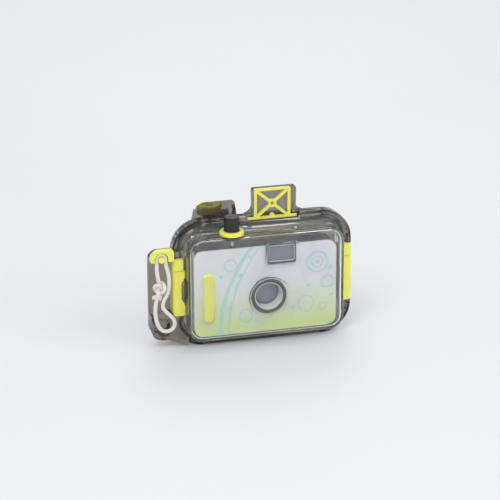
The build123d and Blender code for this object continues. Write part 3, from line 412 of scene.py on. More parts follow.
@dataclass(frozen=True)
class CoatedGlass:
    """Window or lens in an opaque grey-violet: the violet is its coating's cast, the mid-grey lightness a
    painted reflection of pale surroundings.
    """

    name: str
    colour: Colour
    edge: Colour
    centre: tuple[float, float]
    radius: float
    dust_size: float = 1.3 * MM

    def material(self) -> Material:
        """Builds the material. The edge's colour grows with the distance from the middle of the glass.

        Returns:
            The material.
        """
        graph = Graph(self.name)
        here = graph.place()
        across, up = graph.front_view(here)
        far = away(across, up, self.centre) / self.radius
        dust = graph.noise(here, self.dust_size, 3.0)
        colour = graph.blend((far + 0.12 * (dust - 0.5)).least(1.0), self.colour, self.edge)
        return graph.finish(graph.surface(colour, 0.10 + 0.06 * dust, None, {
            "IOR": 1.6, "Coat Weight": 0.5, "Coat Roughness": 0.05}))


@dataclass(frozen=True)
class BraidedCord:
    """Pale braided cord with a painted shade, a darker colour, in the hollows between its strands."""

    name: str
    colour: Colour
    # Painted shade: the colour in the hollows between strands.
    hollow: Colour
    fibre_size: float = 0.16 * MM
    fibre_depth: float = 0.12 * MM
    grime_size: float = 7 * MM

    def material(self) -> Material:
        """Builds the material. The attribute "strand" is 1 on a strand and 0 between two, where the colour
        falls to a painted shade.

        Returns:
            The material.
        """
        graph = Graph(self.name)
        here = graph.place()
        strand = graph.node("ShaderNodeAttribute", {"attribute_name": "strand"}, out="Fac")
        fibre = graph.noise(graph.stretch(here, (1.0, 1.0, 0.35)), self.fibre_size, 3.0, 0.7)
        grime = graph.noise(here, self.grime_size)
        # Painted shade: the colour falls towards the hollow colour between strands; fibre and grime vary it
        # at random.
        share = (0.25 + 0.75 * strand + 0.25 * (fibre - 0.5) + 0.2 * (grime - 0.5)).least(1.0).most(0.0)
        colour = graph.blend(share, self.hollow, self.colour)
        normal = graph.bump(fibre, self.fibre_depth, 0.7)
        return graph.finish(graph.surface(colour, 0.78 + 0.12 * fibre, normal, {
            "Sheen Weight": 0.45, "Sheen Roughness": 0.4}))


@dataclass(frozen=True)
class PrintedPanel:
    """Glossy printed front of the camera: a pale ground that turns lime below, with loose pale line motifs.

    Rings hold a centre, a radius and a line's width, dots a centre and a radius, and ribbons a start, a
    width and a lean, all in millimetres.
    """

    name: str
    top: Colour = tone(230, 227, 232)
    low: Colour = tone(212, 223, 146)
    line: Colour = tone(150, 214, 204)
    warm: Colour = tone(206, 196, 226)
    rings: tuple[tuple[float, float, float, float], ...] = (
        (40.0, 63.0, 8.2, 1.5), (40.0, 63.0, 4.4, 1.1), (48.5, 46.5, 4.8, 1.2), (31.0, 30.0, 6.4, 1.4),
        (44.5, 26.5, 3.2, 1.1), (-27.5, 66.5, 4.6, 1.2), (-16.0, 25.0, 5.0, 1.3), (-33.0, 32.0, 2.6, 1.0))
    dots: tuple[Point, ...] = (
        (50.0, 58.0, 1.7), (33.0, 45.5, 1.5), (20.5, 27.5, 1.9), (-20.5, 58.0, 1.8), (-8.0, 20.5, 1.5),
        (-35.0, 58.5, 1.3), (40.0, 63.0, 1.8), (51.0, 36.0, 1.4), (-12.5, 72.0, 1.4))
    ribbons: tuple[Point, ...] = ((-32.0, 3.4, 0.30), (-25.5, 1.4, 0.30))
    ribbon_middle: float = 40.0
    ribbon_reach: float = 30.0
    ribbon_bow: float = 5.0
    waver: float = 2.2
    soft: float = 0.22

    def material(self) -> Material:
        """Builds the material. Every motif is a distance in millimetres that is cut at a line's width.

        Returns:
            The material.
        """
        graph = Graph(self.name)
        here = graph.place()
        wobble = graph.noise(here, 13 * MM)
        drift = graph.noise(graph.stretch(here, (1.0, 1.0, 1.7)), 17 * MM)
        across, up = graph.front_view(here)
        x = across * (1 / MM) + self.waver * (wobble - 0.5)
        z = up * (1 / MM) + self.waver * (drift - 0.5)
        high = z - self.ribbon_middle
        bow = high / self.ribbon_reach
        drawn = [abs(away(x, z, (cx, cz)) - radius).below(width / 2, self.soft)
                 for cx, cz, radius, width in self.rings]
        drawn += [away(x, z, (cx, cz)).below(radius, self.soft) for cx, cz, radius in self.dots]
        drawn += [abs(x - start - lean * high - self.ribbon_bow * bow * bow).below(width / 2, self.soft)
                  for start, width, lean in self.ribbons]
        mask = functools.reduce(Wire.most, drawn)
        fade = ((z - 16.0) / 35.0 + 0.24 * (drift - 0.5)).least(1.0).most(0.0)
        patch = graph.noise(here, 22 * MM, 1.0).below(0.42, 0.05)
        ground = graph.blend(0.30 * patch, graph.blend(fade, self.low, self.top), self.warm)
        colour = graph.blend(0.66 * mask, ground, self.line)
        grain = graph.noise(here, 0.25 * MM, 1.0)
        normal = graph.bump(grain + 0.8 * mask, 0.004 * MM)
        return graph.finish(graph.surface(colour, 0.24 + 0.10 * grain + 0.10 * mask, normal, {
            "IOR": 1.5, "Coat Weight": 0.3, "Coat Roughness": 0.1}))


class Finish(Enum):
    """Finishes of the camera and its housing."""

    CLEAR = ClearPlastic("clear_plastic", tone(250, 253, 253))
    SMOKE = ClearPlastic("smoke_plastic", tone(148, 140, 132), roughness=0.05, haze=0.14, milk=0.02,
                         shade=0.26)
    YELLOW = MouldedPlastic("lime_yellow_plastic", tone(238, 236, 98), 0.30, 0.04, coat=0.25, glow=0.10)
    BLACK = MouldedPlastic("black_plastic", tone(30, 30, 34), 0.36, 0.12)
    JET = MouldedPlastic("jet_black_plastic", tone(23, 24, 31), 0.34, 0.08)
    DARK = MouldedPlastic("dark_slate_plastic", tone(50, 50, 60), 0.32, 0.12, coat=0.2)
    GREY = MouldedPlastic("dark_grey_plastic", tone(70, 70, 74), 0.42, 0.10)
    WHITE = MouldedPlastic("white_plastic", tone(222, 220, 224), 0.32, 0.03)
    PRINT = PrintedPanel("printed_panel")
    # The lens cup and the finder liner are silver; their near-white diffuse colour is a painted reflection of
    # bright surroundings in place of a mirror finish.
    SILVER_AND_PAINTED_REFLECTION = MouldedPlastic("silver_and_painted_reflection", tone(226, 226, 220), 0.28, 0.03, coat=0.3)
    STEEL = Metal("stainless_steel", tone(196, 196, 198))
    BLACKENED = MouldedPlastic("blackened_steel", tone(44, 44, 48), 0.5, 0.14)
    # Lens and window colours are opaque: violet from the coating, mid-grey lightness a painted reflection of
    # pale surroundings, darker towards the rim.
    LENS = CoatedGlass("coated_lens", tone(128, 128, 146), tone(96, 96, 116), mm(1.5, 40.0), 9 * MM)
    WINDOW = CoatedGlass("finder_window", tone(118, 118, 132), tone(98, 98, 112), mm(11.5, 73.5), 12 * MM)
    RUBBER = SealRubber("seal_rubber", tone(46, 46, 48))
    # The second colour is a painted shade for the hollows between strands.
    CORD = BraidedCord("white_braided_cord", tone(240, 236, 228), tone(170, 164, 156))


@functools.cache
def material_of(finish: Finish) -> Material:
    """The finish's material, built the first time that it is asked for."""
    return finish.value.material()


# Meshes

def grid_faces(rows: int, columns: int, closed_u: bool, closed_v: bool) -> np.ndarray:
    """Corners of a grid's faces, each of which joins a point with its neighbours one step on along u and v.

    Args:
        rows: Number of points along u.
        columns: Number of points along v.
        closed_u: Whether the last row is joined with the first.
        closed_v: Whether the last column is joined with the first.

    Returns:
        Array of shape (faces, 4).
    """
    here, there = np.meshgrid(np.arange(rows if closed_u else rows - 1),
                              np.arange(columns if closed_v else columns - 1), indexing="ij")
    up, on = (here + 1) % rows, (there + 1) % columns
    corners = ((here, there), (up, there), (up, on), (here, on))
    return np.stack([row * columns + column for row, column in corners], -1).reshape(-1, 4)


def grid_piece(name: str, points: np.ndarray, closed_u: bool = False, closed_v: bool = True,
               caps: bool = False) -> Piece:
    """Makes a mesh object from a grid of points. Poles, where a row falls on one point, are merged.

    Args:
        name: Name of the piece.
        points: Array of shape (u, v, 3) in metres.
        closed_u: Whether the rows form a ring.
        closed_v: Whether the columns form a ring.
        caps: Whether the first and last row are closed with a flat face.

    Returns:
        The object, with its normals pointing outwards.
    """
    rows, columns = points.shape[:2]
    faces = grid_faces(rows, columns, closed_u, closed_v).tolist()
    if caps:
        faces += [list(range(columns)), list(range((rows - 1) * columns, rows * columns))]
    mesh = bpy.data.meshes.new(name)
    mesh.from_pydata(points.reshape(-1, 3).tolist(), [], faces)
    return tidy_object(name, mesh, 40.0)


def shade_smooth(mesh: bpy.types.Mesh) -> None:
    """Shades every face of a mesh smooth."""
    mesh.polygons.foreach_set("use_smooth", np.ones(len(mesh.polygons), bool))


def tidy_object(name: str, mesh: bpy.types.Mesh, sharp: float, dissolve: bool = False) -> Piece:
    """Merges a mesh's doubles, turns its faces outwards, shades it smooth and links it as an object.

    Args:
        name: Name of the piece.
        mesh: Its mesh.
        sharp: Angle in degrees over which an edge stays sharp.
        dissolve: Whether flat faces are joined.

    Returns:
        The object.
    """
    work = bmesh.new()
    work.from_mesh(mesh)
    bmesh.ops.remove_doubles(work, verts=work.verts, dist=0.002 * MM)
    bmesh.ops.dissolve_degenerate(work, edges=work.edges, dist=0.001 * MM)
    if dissolve:
        bmesh.ops.dissolve_limit(work, angle_limit=math.radians(0.6), verts=work.verts, edges=work.edges)
    bmesh.ops.recalc_face_normals(work, faces=work.faces)
    work.to_mesh(mesh)
    work.free()
    shade_smooth(mesh)
    mesh.set_sharp_from_angle(angle=math.radians(sharp))
    mesh.update()
    return linked(name, mesh)


def hand_over(piece: Piece, finish: Finish, *nodes: str) -> Piece:
    """Gives a new piece its finish, lets it stand for its nodes and ride on their body.

    Args:
        piece: The new piece.
        finish: Its finish.
        nodes: The CAD nodes that it stands for, the first of which gives its body.

    Returns:
        The piece.
    """
    piece.data.materials.clear()
    piece.data.materials.append(material_of(finish))
    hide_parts(*nodes)
    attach(piece, BODY_OF[nodes[0]])
    log.info("%s stands for %s", piece.name, ", ".join(nodes))
    return piece


def dress(node: str, name: str, finish: Finish, bevel: float = 0.0, sharp: float = 28.0) -> Piece:
    """Makes a smooth-shaded copy of a CAD node that stands for it.

    Args:
        node: The CAD node.
        name: Name of the new piece.
        finish: Its finish.
        bevel: Width of the rounding of its sharp edges in metres, or zero.
        sharp: Angle in degrees over which an edge stays sharp.

    Returns:
        The piece.
    """
    mesh = frame["nodes"][node].data.copy()
    mesh.name = name
    piece = tidy_object(name, mesh, sharp, dissolve=bevel > 0)
    if bevel > 0:
        rounding = piece.modifiers.new("edge_rounding", "BEVEL")
        rounding.width = bevel
        rounding.segments = 2
        rounding.limit_method = "ANGLE"
        rounding.angle_limit = math.radians(sharp + 4)
        rounding.harden_normals = True
    weighting = piece.modifiers.new("flat_shading_weight", "WEIGHTED_NORMAL")
    weighting.keep_sharp = True
    return hand_over(piece, finish, node)


def paint(finish: Finish, *nodes: str) -> None:
    """Gives CAD nodes that stay as they are their finish.

    Args:
        finish: Their finish.
        nodes: The CAD nodes.
    """
    for node in nodes:
        data = frame["nodes"][node].data
        data.materials.clear()
        data.materials.append(material_of(finish))
        log.info("%s keeps its solid, in %s", node, finish.value.name)


def rounded(corners: list[Point], steps: int = 6) -> np.ndarray:
    """Outline with rounded corners.

    Each corner is cut back along both of its runs by the tangent length of its radius, and the cut is
    bridged by a quadratic curve whose middle control point is the corner.

    Args:
        corners: First number, second number and radius of each corner.
        steps: Points on each rounding.

    Returns:
        Array of shape (points, 2).
    """
    places = np.array([corner[:2] for corner in corners])
    share = np.linspace(0.0, 1.0, steps)[:, None]
    made = [places[:1]]
    for before, here, after, (_, _, radius) in zip(places[:-2], places[1:-1], places[2:], corners[1:-1]):
        back, on = before - here, after - here
        back_long, on_long = np.linalg.norm(back), np.linalg.norm(on)
        turn = math.pi - math.acos(float(np.clip(back @ on / (back_long * on_long), -1, 1)))
        reach = min(radius * math.tan(turn / 2), 0.48 * back_long, 0.48 * on_long)
        start, end = here + back / back_long * reach, here + on / on_long * reach
        made.append((1 - share) ** 2 * start + 2 * share * (1 - share) * here + share ** 2 * end)
    made.append(places[-1:])
    return np.concatenate(made)


def lathe(name: str, profile: np.ndarray, centre: tuple[float, ...], along_y: bool = False,
          steps: int = 96, ripple: Optional[np.ndarray] = None) -> Piece:
    """Turns a profile round an axis.

    A point is centre + radius * (cos a * first + sin a * second) + height * axis, for a profile of
    (radius, height) pairs. A ripple of shape (profile, steps) is added to the radius.

    Args:
        name: Name of the piece.
        profile: Array of (radius, height) in metres.
        centre: Where radius and height are zero.
        along_y: Whether the axis is Y, and otherwise Z.
        steps: Number of steps round the axis.
        ripple: What is added to the radius.

    Returns:
        The piece's object.
    """
    angle = np.linspace(0.0, 2 * math.pi, steps, endpoint=False)
    radius = profile[:, :1] + (0.0 if ripple is None else ripple)
    radius = np.broadcast_to(radius, (len(profile), steps))
    first, second = radius * np.cos(angle), radius * np.sin(angle)
    height = np.broadcast_to(profile[:, 1:], radius.shape)
    parts = (first, height, second) if along_y else (first, second, height)
    return grid_piece(name, np.stack(parts, -1) + np.array(centre))


def ring_frames(path: np.ndarray, closed: bool = False) -> tuple[np.ndarray, np.ndarray]:
    """Two unit vectors across a path at each of its points.

    The first is carried along from point to point by taking out its part along the path, and on a closed
    path the twist that is left at the end is spread evenly over the points.

    Args:
        path: Points of shape (points, 3).
        closed: Whether the path closes on itself.

    Returns:
        The two arrays of vectors.
    """
    aslant = (0.31, 0.87, 0.38)
    ahead = np.roll(path, -1, 0) - np.roll(path, 1, 0)
    if not closed:
        ahead[0], ahead[-1] = path[1] - path[0], path[-1] - path[-2]
    ahead /= np.linalg.norm(ahead, axis=1)[:, None]
    side = np.cross(ahead[0], aslant)
    sides = np.empty_like(path)
    for index, way in enumerate(ahead):
        side = side - way * (side @ way)
        side = side / np.linalg.norm(side)
        sides[index] = side
    ups = np.cross(ahead, sides)
    if closed:
        last = sides[-1] - ahead[0] * (sides[-1] @ ahead[0])
        twist = math.atan2(float(last @ ups[0]), float(last @ sides[0]))
        turn = -twist * np.arange(len(path))[:, None] / len(path)
        sides, ups = sides * np.cos(turn) + ups * np.sin(turn), ups * np.cos(turn) - sides * np.sin(turn)
    return sides, ups


# Wrist cord

@dataclass
class WristCord:
    """White braided cord that loops over the lug's post and is tied at both ends in one knot."""

    diameter: float = 3.0 * MM
    y: float = -8.4
    post_x: float = -79.1
    post_turn: float = 3.3
    knot: Point = (-80.6, -8.4, 49.6)
    knot_size: Point = (10.0, 7.6, 14.0)
    plait: float = 3.6 * MM
    pairs: int = 4
    relief: float = 0.14
    sunk: float = 0.28
    fray: float = 0.09 * MM
    frayed_share: float = 0.14
    knot_points: int = 400
    line_points: int = 132

    def route(self) -> list[tuple[float, ...]]:
        """Points of the route, the same as the solid's.

        Returns:
            The points in metres.
        """
        y = self.y
        left, right = self.post_x - self.post_turn, self.post_x + self.post_turn
        points = [
            (-81.0, y, 55.2),
            (-82.6, y - 0.3, 62.6),
            (left, y, 70.0),
            (left, y, 77.2),
            (right, y, 77.2),
            (right, y, 69.6),
            (-73.8, y - 0.7, 62.4),
            (-73.2, y - 0.9, 54.2),
            (-74.3, y - 0.4, 46.4),
            (-77.9, y - 0.2, 40.2),
            (-78.8, y - 0.4, 34.8),
            (-74.6, y - 0.9, 29.8),
            (-70.2, y - 1.0, 25.4),
            (-69.2, y - 0.4, 20.6),
            (-71.2, y + 0.3, 16.4),
            (-76.0, y + 0.8, 14.6),
            (-80.6, y + 0.8, 17.2),
            (-83.2, y + 0.5, 23.4),
            (-84.4, y + 0.2, 31.0),
            (-83.8, y, 39.0),
            (-81.9, y, 46.4),
        ]
        return [mm(*point) for point in points]

    def centreline(self) -> np.ndarray:
        """Smooth spline whose control points are the route's.

        Returns:
            Points along it, evenly spaced.
        """
        curve = bpy.data.curves.new("cord_route", "CURVE")
        curve.dimensions = "3D"
        spline = curve.splines.new("NURBS")
        route = self.route()
        spline.points.add(len(route) - 1)
        for point, place in zip(spline.points, route):
            point.co = (*place, 1.0)
        spline.order_u = 3
        spline.use_endpoint_u = True
        spline.resolution_u = 24
        carrier = linked("cord_route", curve)
        bpy.context.view_layer.update()
        mesh = bpy.data.meshes.new_from_object(carrier)
        points = np.empty(len(mesh.vertices) * 3)
        mesh.vertices.foreach_get("co", points)
        bpy.data.objects.remove(carrier)
        bpy.data.curves.remove(curve)
        bpy.data.meshes.remove(mesh)
        return self.even(points.reshape(-1, 3), 0.2 * MM)

    @staticmethod
    def even(points: np.ndarray, step: float) -> np.ndarray:
        """Reads a line of points again at even steps of its length.

        Args:
            points: The line's points.
            step: Length of a step.

        Returns:
            The new points.
        """
        run = np.concatenate([[0.0], np.cumsum(np.linalg.norm(np.diff(points, axis=0), axis=1))])
        wanted = np.linspace(0.0, run[-1], max(8, int(run[-1] / step)))
        return np.stack([np.interp(wanted, run, points[:, axis]) for axis in range(3)], -1)

    def braid(self, path: np.ndarray, closed: bool = False, around: int = 40,
              radius: Optional[np.ndarray] = None) -> tuple[np.ndarray, np.ndarray]:
        """Surface of a braided cord.

        Two families of strands wind round the path in opposite directions, cos(n a + k s) and
        cos(n a - k s). Each point takes the higher of the two, and each family lies over and under the
        other in turn. The radius grows with that height.

        Args:
            path: Centreline, evenly spaced.
            closed: Whether it closes on itself.
            around: Steps round the cord.
            radius: Radius at each point of the path, or None for the cord's own.

        Returns:
            Points of shape (path, around, 3) and the height of the strands from 0 to 1.
        """
        sides, ups = ring_frames(path, closed)
        step = np.linalg.norm(path[1] - path[0])
        along = (np.arange(len(path)) * step)[:, None]
        angle = np.linspace(0, 2 * math.pi, around, endpoint=False)[None, :]
        turn = 2 * math.pi / self.plait
        if closed:
            whole = len(path) * step
            turn = 2 * math.pi * round(whole / self.plait) / whole
        left, right = self.pairs * angle + turn * along, self.pairs * angle - turn * along
        over = 0.5 + 0.5 * np.tanh(3.0 * np.sin(left) * np.sin(right))
        height = np.maximum(np.abs(np.cos(left)) ** 0.6 * (1.0 - self.sunk + self.sunk * over),
                            np.abs(np.cos(right)) ** 0.6 * (1.0 - self.sunk * over))
        size = np.full(len(path), self.diameter / 2) if radius is None else radius
        reach = size[:, None] * (1.0 - self.relief + self.relief * height)
        across, up = (reach * np.cos(angle))[..., None], (reach * np.sin(angle))[..., None]
        return path[:, None] + sides[:, None] * across + ups[:, None] * up, height

    def knot_path(self) -> np.ndarray:
        """Centreline of the overhand knot.

        A trefoil: first axis sin t + 2 sin 2t, second -sin 3t, third cos t - 2 cos 2t, each scaled to the
        knot's size less the cord's thickness.

        Returns:
            Points along it, evenly spaced.
        """
        t = np.linspace(0, 2 * math.pi, self.knot_points, endpoint=False)
        shape = np.stack([np.sin(t) + 2 * np.sin(2 * t), -np.sin(3 * t), np.cos(t) - 2 * np.cos(2 * t)], -1)
        size = np.array(self.knot_size) * MM - self.diameter
        shape = shape / np.ptp(shape, axis=0) * size
        closed = np.concatenate([shape, shape[:1]])
        return self.even(closed, 0.25 * MM)[:-1] + np.array(mm(*self.knot))

    def tail(self, start: Point, middle: Point, end: Point, seed: int) -> tuple[np.ndarray, np.ndarray]:
        """One cut end of the cord.

        The path is start (1-t)^2 + 2 middle t (1-t) + end t^2. The last stretch opens into a frayed brush:
        the radius grows and every point of the surface is moved by a random amount.

        Args:
            start: Where it leaves the knot, in millimetres from the knot's middle.
            middle: Where it bends.
            end: Its cut end.
            seed: Seed of the fraying.

        Returns:
            Points and strand heights, as braid gives them.
        """
        start, middle, end = (np.array(self.knot) + place for place in (start, middle, end))
        t = np.linspace(0, 1, 60)[:, None]
        path = self.even((1 - t) ** 2 * start + 2 * t * (1 - t) * middle + t ** 2 * end, 0.25) * MM
        share = np.linspace(0, 1, len(path))
        open_end = np.clip((share - 1.0 + self.frayed_share) / self.frayed_share, 0, 1)
        points, height = self.braid(path, radius=self.diameter / 2 * (0.96 + 0.06 * open_end))
        rough = np.random.default_rng(seed).normal(0.0, 1.0, points.shape) * self.fray
        return points + rough * open_end[:, None, None], height

    def build(self) -> None:
        path = self.centreline()
        cord = self.cover("wrist_cord_braided", [(*self.braid(path), False)])
        hand_over(cord, Finish.CORD, "wrist_cord")
        knot = self.cover("wrist_cord_knot", [
            (*self.braid(self.knot_path(), closed=True), True),
            (*self.tail((-1.0, 0.0, -4.0), (-3.0, 0.0, -5.8), (-5.6, 0.4, -6.2), 3), False),
            (*self.tail((0.4, 0.4, -4.0), (0.5, 1.1, -6.4), (0.2, 1.9, -8.8), 5), False)])
        hand_over(knot, Finish.CORD, "cord_knot")
        length = float(np.linalg.norm(np.diff(path, axis=0), axis=1).sum())
        log.info("wrist cord is %.1f mm long along its line", length / MM)
        self.route()[0]

    @staticmethod
    def cover(name: str, parts: list[tuple[np.ndarray, np.ndarray, bool]]) -> Piece:
        """Joins braided surfaces into one mesh with the attribute "strand".

        Args:
            name: Name of the piece.
            parts: Points, strand heights and whether the path is closed, for each surface.

        Returns:
            The piece.
        """
        places, heights, faces, offset = [], [], [], 0
        for points, height, closed in parts:
            rows, columns = points.shape[:2]
            outward = np.roll(grid_faces(rows, columns, closed, True)[:, ::-1], 1, axis=1)
            faces += (outward + offset).tolist()
            if not closed:
                first = [offset + column for column in range(columns)]
                faces += [first[::-1], [corner + (rows - 1) * columns for corner in first]]
            places.append(points.reshape(-1, 3))
            heights.append(height.reshape(-1))
            offset += rows * columns
        mesh = bpy.data.meshes.new(name)
        mesh.from_pydata(np.concatenate(places).tolist(), [], faces)
        attribute = mesh.attributes.new("strand", "FLOAT", "POINT")
        attribute.data.foreach_set("value", np.concatenate(heights).astype(np.float32))
        shade_smooth(mesh)
        mesh.update()
        return linked(name, mesh)


# Housing

@dataclass
class Housing:
    """The two shells of the underwater housing, their seal, and the lug for the strap."""

    bevel: float = 0.25 * MM

    def build(self) -> None:
        """Dresses the shells and paints what is between them."""
        dress("front_shell", "clear_front_shell", Finish.CLEAR)
        dress("back_shell", "smoke_back_shell", Finish.SMOKE)
        dress("gasket", "seal_ring_between_shells", Finish.RUBBER)
        dress("strap_lug", "yellow_strap_lug", Finish.YELLOW, self.bevel)
        paint(Finish.STEEL, "latch_pins")


@dataclass
class Latches:
    """The two side latches."""

    bevel: float = 0.3 * MM

    def build(self) -> None:
        """Dresses both latches."""
        for side in ("left", "right"):
            dress(f"latch_{side}", f"yellow_latch_{side}", Finish.YELLOW, self.bevel)


@dataclass
class PushButton:
    """Shutter button with its yellow ring, stem, seal and spring."""

    x: float = -25.4
    y: float = -11.4
    low: float = 92.6
    top: float = 104.0
    radius: float = 5.8
    edge: float = 1.5
    dish: float = 0.35
    skirt: float = 4.5
    skirt_roof: float = 100.2
    ring_radius: float = 9.4
    ring_hole: float = 6.1
    ring_low: float = 90.0
    ring_height: float = 3.0
    spring_foot: float = 96.6
    spring_pressed: float = 1.6

    def cap(self) -> Piece:
        """Turned cap with a soft top edge, a shallow dish for the finger and the hollow skirt below.

        Returns:
            The piece.
        """
        inside, dished = self.radius - self.edge, self.top - self.dish
        profile = rounded([
            (0.0, dished, 0), (inside - 1.4, dished, 1.2), (inside - 0.2, self.top, 0.8),
            (self.radius, self.top, self.edge), (self.radius, self.low, 0.25), (self.skirt, self.low, 0.2),
            (self.skirt, self.skirt_roof, 0.2), (0.0, self.skirt_roof, 0)]) * MM
        return lathe("black_shutter_button", profile, mm(self.x, self.y, 0))

    def ring(self) -> Piece:
        """Turned yellow ring with a round shoulder.

        Returns:
            The piece.
        """
        top = self.ring_low + self.ring_height
        profile = rounded([
            (self.ring_hole, self.ring_low, 0), (self.ring_hole, top, 0.35), (self.ring_radius, top, 1.5),
            (self.ring_radius, self.ring_low, 0.2), (self.ring_hole, self.ring_low, 0)], 8) * MM
        return lathe("yellow_button_ring", profile, mm(self.x, self.y, 0))

    def build(self) -> None:
        """Makes the cap and the ring and finishes the parts inside."""
        hand_over(self.cap(), Finish.BLACK, "shutter_button")
        hand_over(self.ring(), Finish.YELLOW, "button_ring")
        dress("button_gland", "button_gland_bush", Finish.GREY)
        dress("button_seal", "button_stem_seal", Finish.RUBBER)
        paint(Finish.STEEL, "button_stem", "stem_clip")
        spring = dress("button_spring", "steel_button_spring", Finish.STEEL)
        top, pressed = self.skirt_roof, self.spring_pressed / (self.skirt_roof - self.spring_foot)
        mm(self.x, self.y, top)
        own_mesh(spring)


@dataclass
class Winder:
    """Ribbed winding knob behind its guard, and the shaft that drives the camera's wheel."""

    x: float = -36.0
    y: float = 17.0
    low: float = 97.0
    height: float = 7.5
    radius: float = 10.0
    ribs: int = 26
    rib_depth: float = 0.7
    dish: float = 6.2
    dish_depth: float = 1.6
    bore: float = 1.5

    def knob(self) -> Piece:
        """Turned knob with round ribs on its side.

        Between two ribs the radius falls by depth * (1 - |sin(n a / 2)|^0.7), and the fall fades out
        towards the knob's top and foot.

        Returns:
            The piece.
        """
        top = self.low + self.height
        floor = top - self.dish_depth
        profile = rounded([
            (self.bore, self.low, 0), (self.radius - 0.9, self.low, 0.3), (self.radius, self.low + 0.7, 0.5),
            (self.radius, top - 1.6, 0.6), (self.radius - 1.0, top, 0.9), (self.dish, top, 0.4),
            (self.dish, floor, 0.3), (self.bore, floor, 0)], 7) * MM
        steps = self.ribs * 10
        angle = np.linspace(0, 2 * math.pi, steps, endpoint=False)
        wave = 1.0 - np.abs(np.sin(self.ribs * angle / 2)) ** 0.7
        height = profile[:, 1:] / MM
        inside = np.clip((height - self.low - 0.3) / 0.6, 0, 1) * np.clip((top - 1.1 - height) / 0.8, 0, 1)
        outer = (profile[:, :1] > (self.radius - 1.2) * MM) * inside
        return lathe("yellow_winding_knob", profile, mm(self.x, self.y, 0), steps=steps,
                     ripple=-self.rib_depth * MM * outer * wave)

    def build(self) -> None:
        """Makes the knob and dresses its drive."""
        hand_over(self.knob(), Finish.YELLOW, "winding_knob")
        paint(Finish.STEEL, "knob_screw", "winding_shaft")
        dress("winding_gland", "winding_gland_bush", Finish.GREY)
        dress("winding_seal", "winding_shaft_seal", Finish.RUBBER)
        dress("drive_wheel", "rubber_drive_wheel", Finish.RUBBER)


@dataclass
class Sight:
    """Folding sight frame."""

    bevel: float = 0.25 * MM

    def build(self) -> None:
        """Dresses the frame."""
        dress("sight_frame", "yellow_sight_frame", Finish.YELLOW, self.bevel)


# Camera

@dataclass
class CameraBody:
    """Covers, grip and finder of the camera in the housing."""

    bevel: float = 0.2 * MM
    grip_x: float = -44.85
    grip_low: float = 22.4
    grip_high: float = 61.9
    grip_width: float = 8.8
    grip_front: float = -18.2
    grip_back: float = -15.4
    grip_side: float = 0.35
    finder_x: float = 11.5
    finder_z: float = 73.5
    finder_front: float = -17.15
    step_width: float = 20.16
    step_height: float = 12.96
    step_corner: float = 1.0
    liner: float = 0.4
    liner_depth: float = 0.72

    @staticmethod
    def upright(plan: np.ndarray, y: float) -> np.ndarray:
        """Points of an outline of (x, z) pairs that stands at one y."""
        return np.stack([plan[:, 0], np.full(len(plan), y), plan[:, 1]], -1)

    def grip(self) -> Piece:
        """Round-ended bar with a crowned front.

        From the front it is a stadium. Each ring of the grid is that stadium, drawn in by
        half * (1 - cos t), and the rings rise from the straight side to the crown with sin(t)^0.55.

        Returns:
            The piece.
        """
        half = self.grip_width / 2
        turn = np.linspace(-math.pi / 2, math.pi / 2, 25)
        right = np.stack([np.cos(turn), np.sin(turn)], -1)
        unit = np.concatenate([right, -right])
        straight = (self.grip_high - self.grip_low) / 2 - half
        middle = np.array([self.grip_x, (self.grip_high + self.grip_low) / 2])
        ends = np.sign(np.round(unit[:, 1], 9))
        ends[0], ends[len(right) - 1] = -1.0, 1.0
        ends[len(right)], ends[-1] = 1.0, -1.0
        shift = np.stack([np.zeros(len(unit)), ends * straight], -1)
        deep = self.grip_back - self.grip_front
        t = np.concatenate([[0.0, 0.0], np.linspace(0.0, 1.0, 14)[1:]]) * math.pi / 2
        inset = half * (1 - np.cos(t)) * 0.999
        crown = deep * (self.grip_side + (1.0 - self.grip_side) * np.sin(t[2:]) ** 0.55)
        rise = np.concatenate([[0.0, deep * self.grip_side], crown])
        rings = [self.upright(middle + unit * (half - cut) + shift, self.grip_back - high)
                 for cut, high in zip(inset, rise)]
        return grid_piece("yellow_grip_bar", np.array(rings) * MM, caps=True)

    def reveal(self) -> Piece:
        """Thin liner of the finder's step, in a pale colour that paints a highlight on the step's inner
        walls.

        Each ring of the grid is a rounded rectangle, round corners of one radius between straight sides.
        The section is a narrow upright bar whose four corners the rings pass through.

        Returns:
            The piece.
        """
        turn = np.linspace(0, math.pi / 2, 7)
        quarter = np.concatenate([turn + side * math.pi / 2 for side in range(4)])
        signs = np.repeat(np.array([(1, 1), (-1, 1), (-1, -1), (1, -1)]), len(turn), axis=0)
        corners = signs * (np.array([self.step_width, self.step_height]) / 2 - self.step_corner)
        middle = np.array([self.finder_x, self.finder_z])
        rings = []
        wide, depth = self.liner, self.liner_depth
        for inset, deep in ((0.0, 0.0), (wide, 0.0), (wide, depth), (0.0, depth)):
            arcs = (self.step_corner - inset) * np.stack([np.cos(quarter), np.sin(quarter)], -1)
            rings.append(self.upright(middle + corners + arcs, self.finder_front + deep))
        return grid_piece("finder_liner_painted_highlight", np.array(rings) * MM, closed_u=True)

    def build(self) -> None:
        """Dresses the covers, the printed front, the grip and the finder."""
        dress("camera_front_panel", "printed_front_panel", Finish.PRINT)
        dress("camera_front_cover", "white_front_cover", Finish.WHITE)
        for name in ("top_cover", "back_door", "chassis"):
            dress(f"camera_{name}", f"black_{name}", Finish.BLACK)
        paint(Finish.STEEL, "camera_screws")
        hand_over(self.grip(), Finish.YELLOW, "grip_bar")
        dress("finder_frame", "dark_finder_frame", Finish.DARK, self.bevel)
        # The liner is a thin sheet in a pale colour that paints a highlight along the finder's step.
        liner = self.reveal()
        liner.data.materials.append(material_of(Finish.SILVER_AND_PAINTED_REFLECTION))
        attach(liner, BODY_OF["finder_frame"])
        dress("finder_front_lens", "finder_front_window", Finish.WINDOW)
        dress("finder_eyepiece", "finder_back_window", Finish.WINDOW)


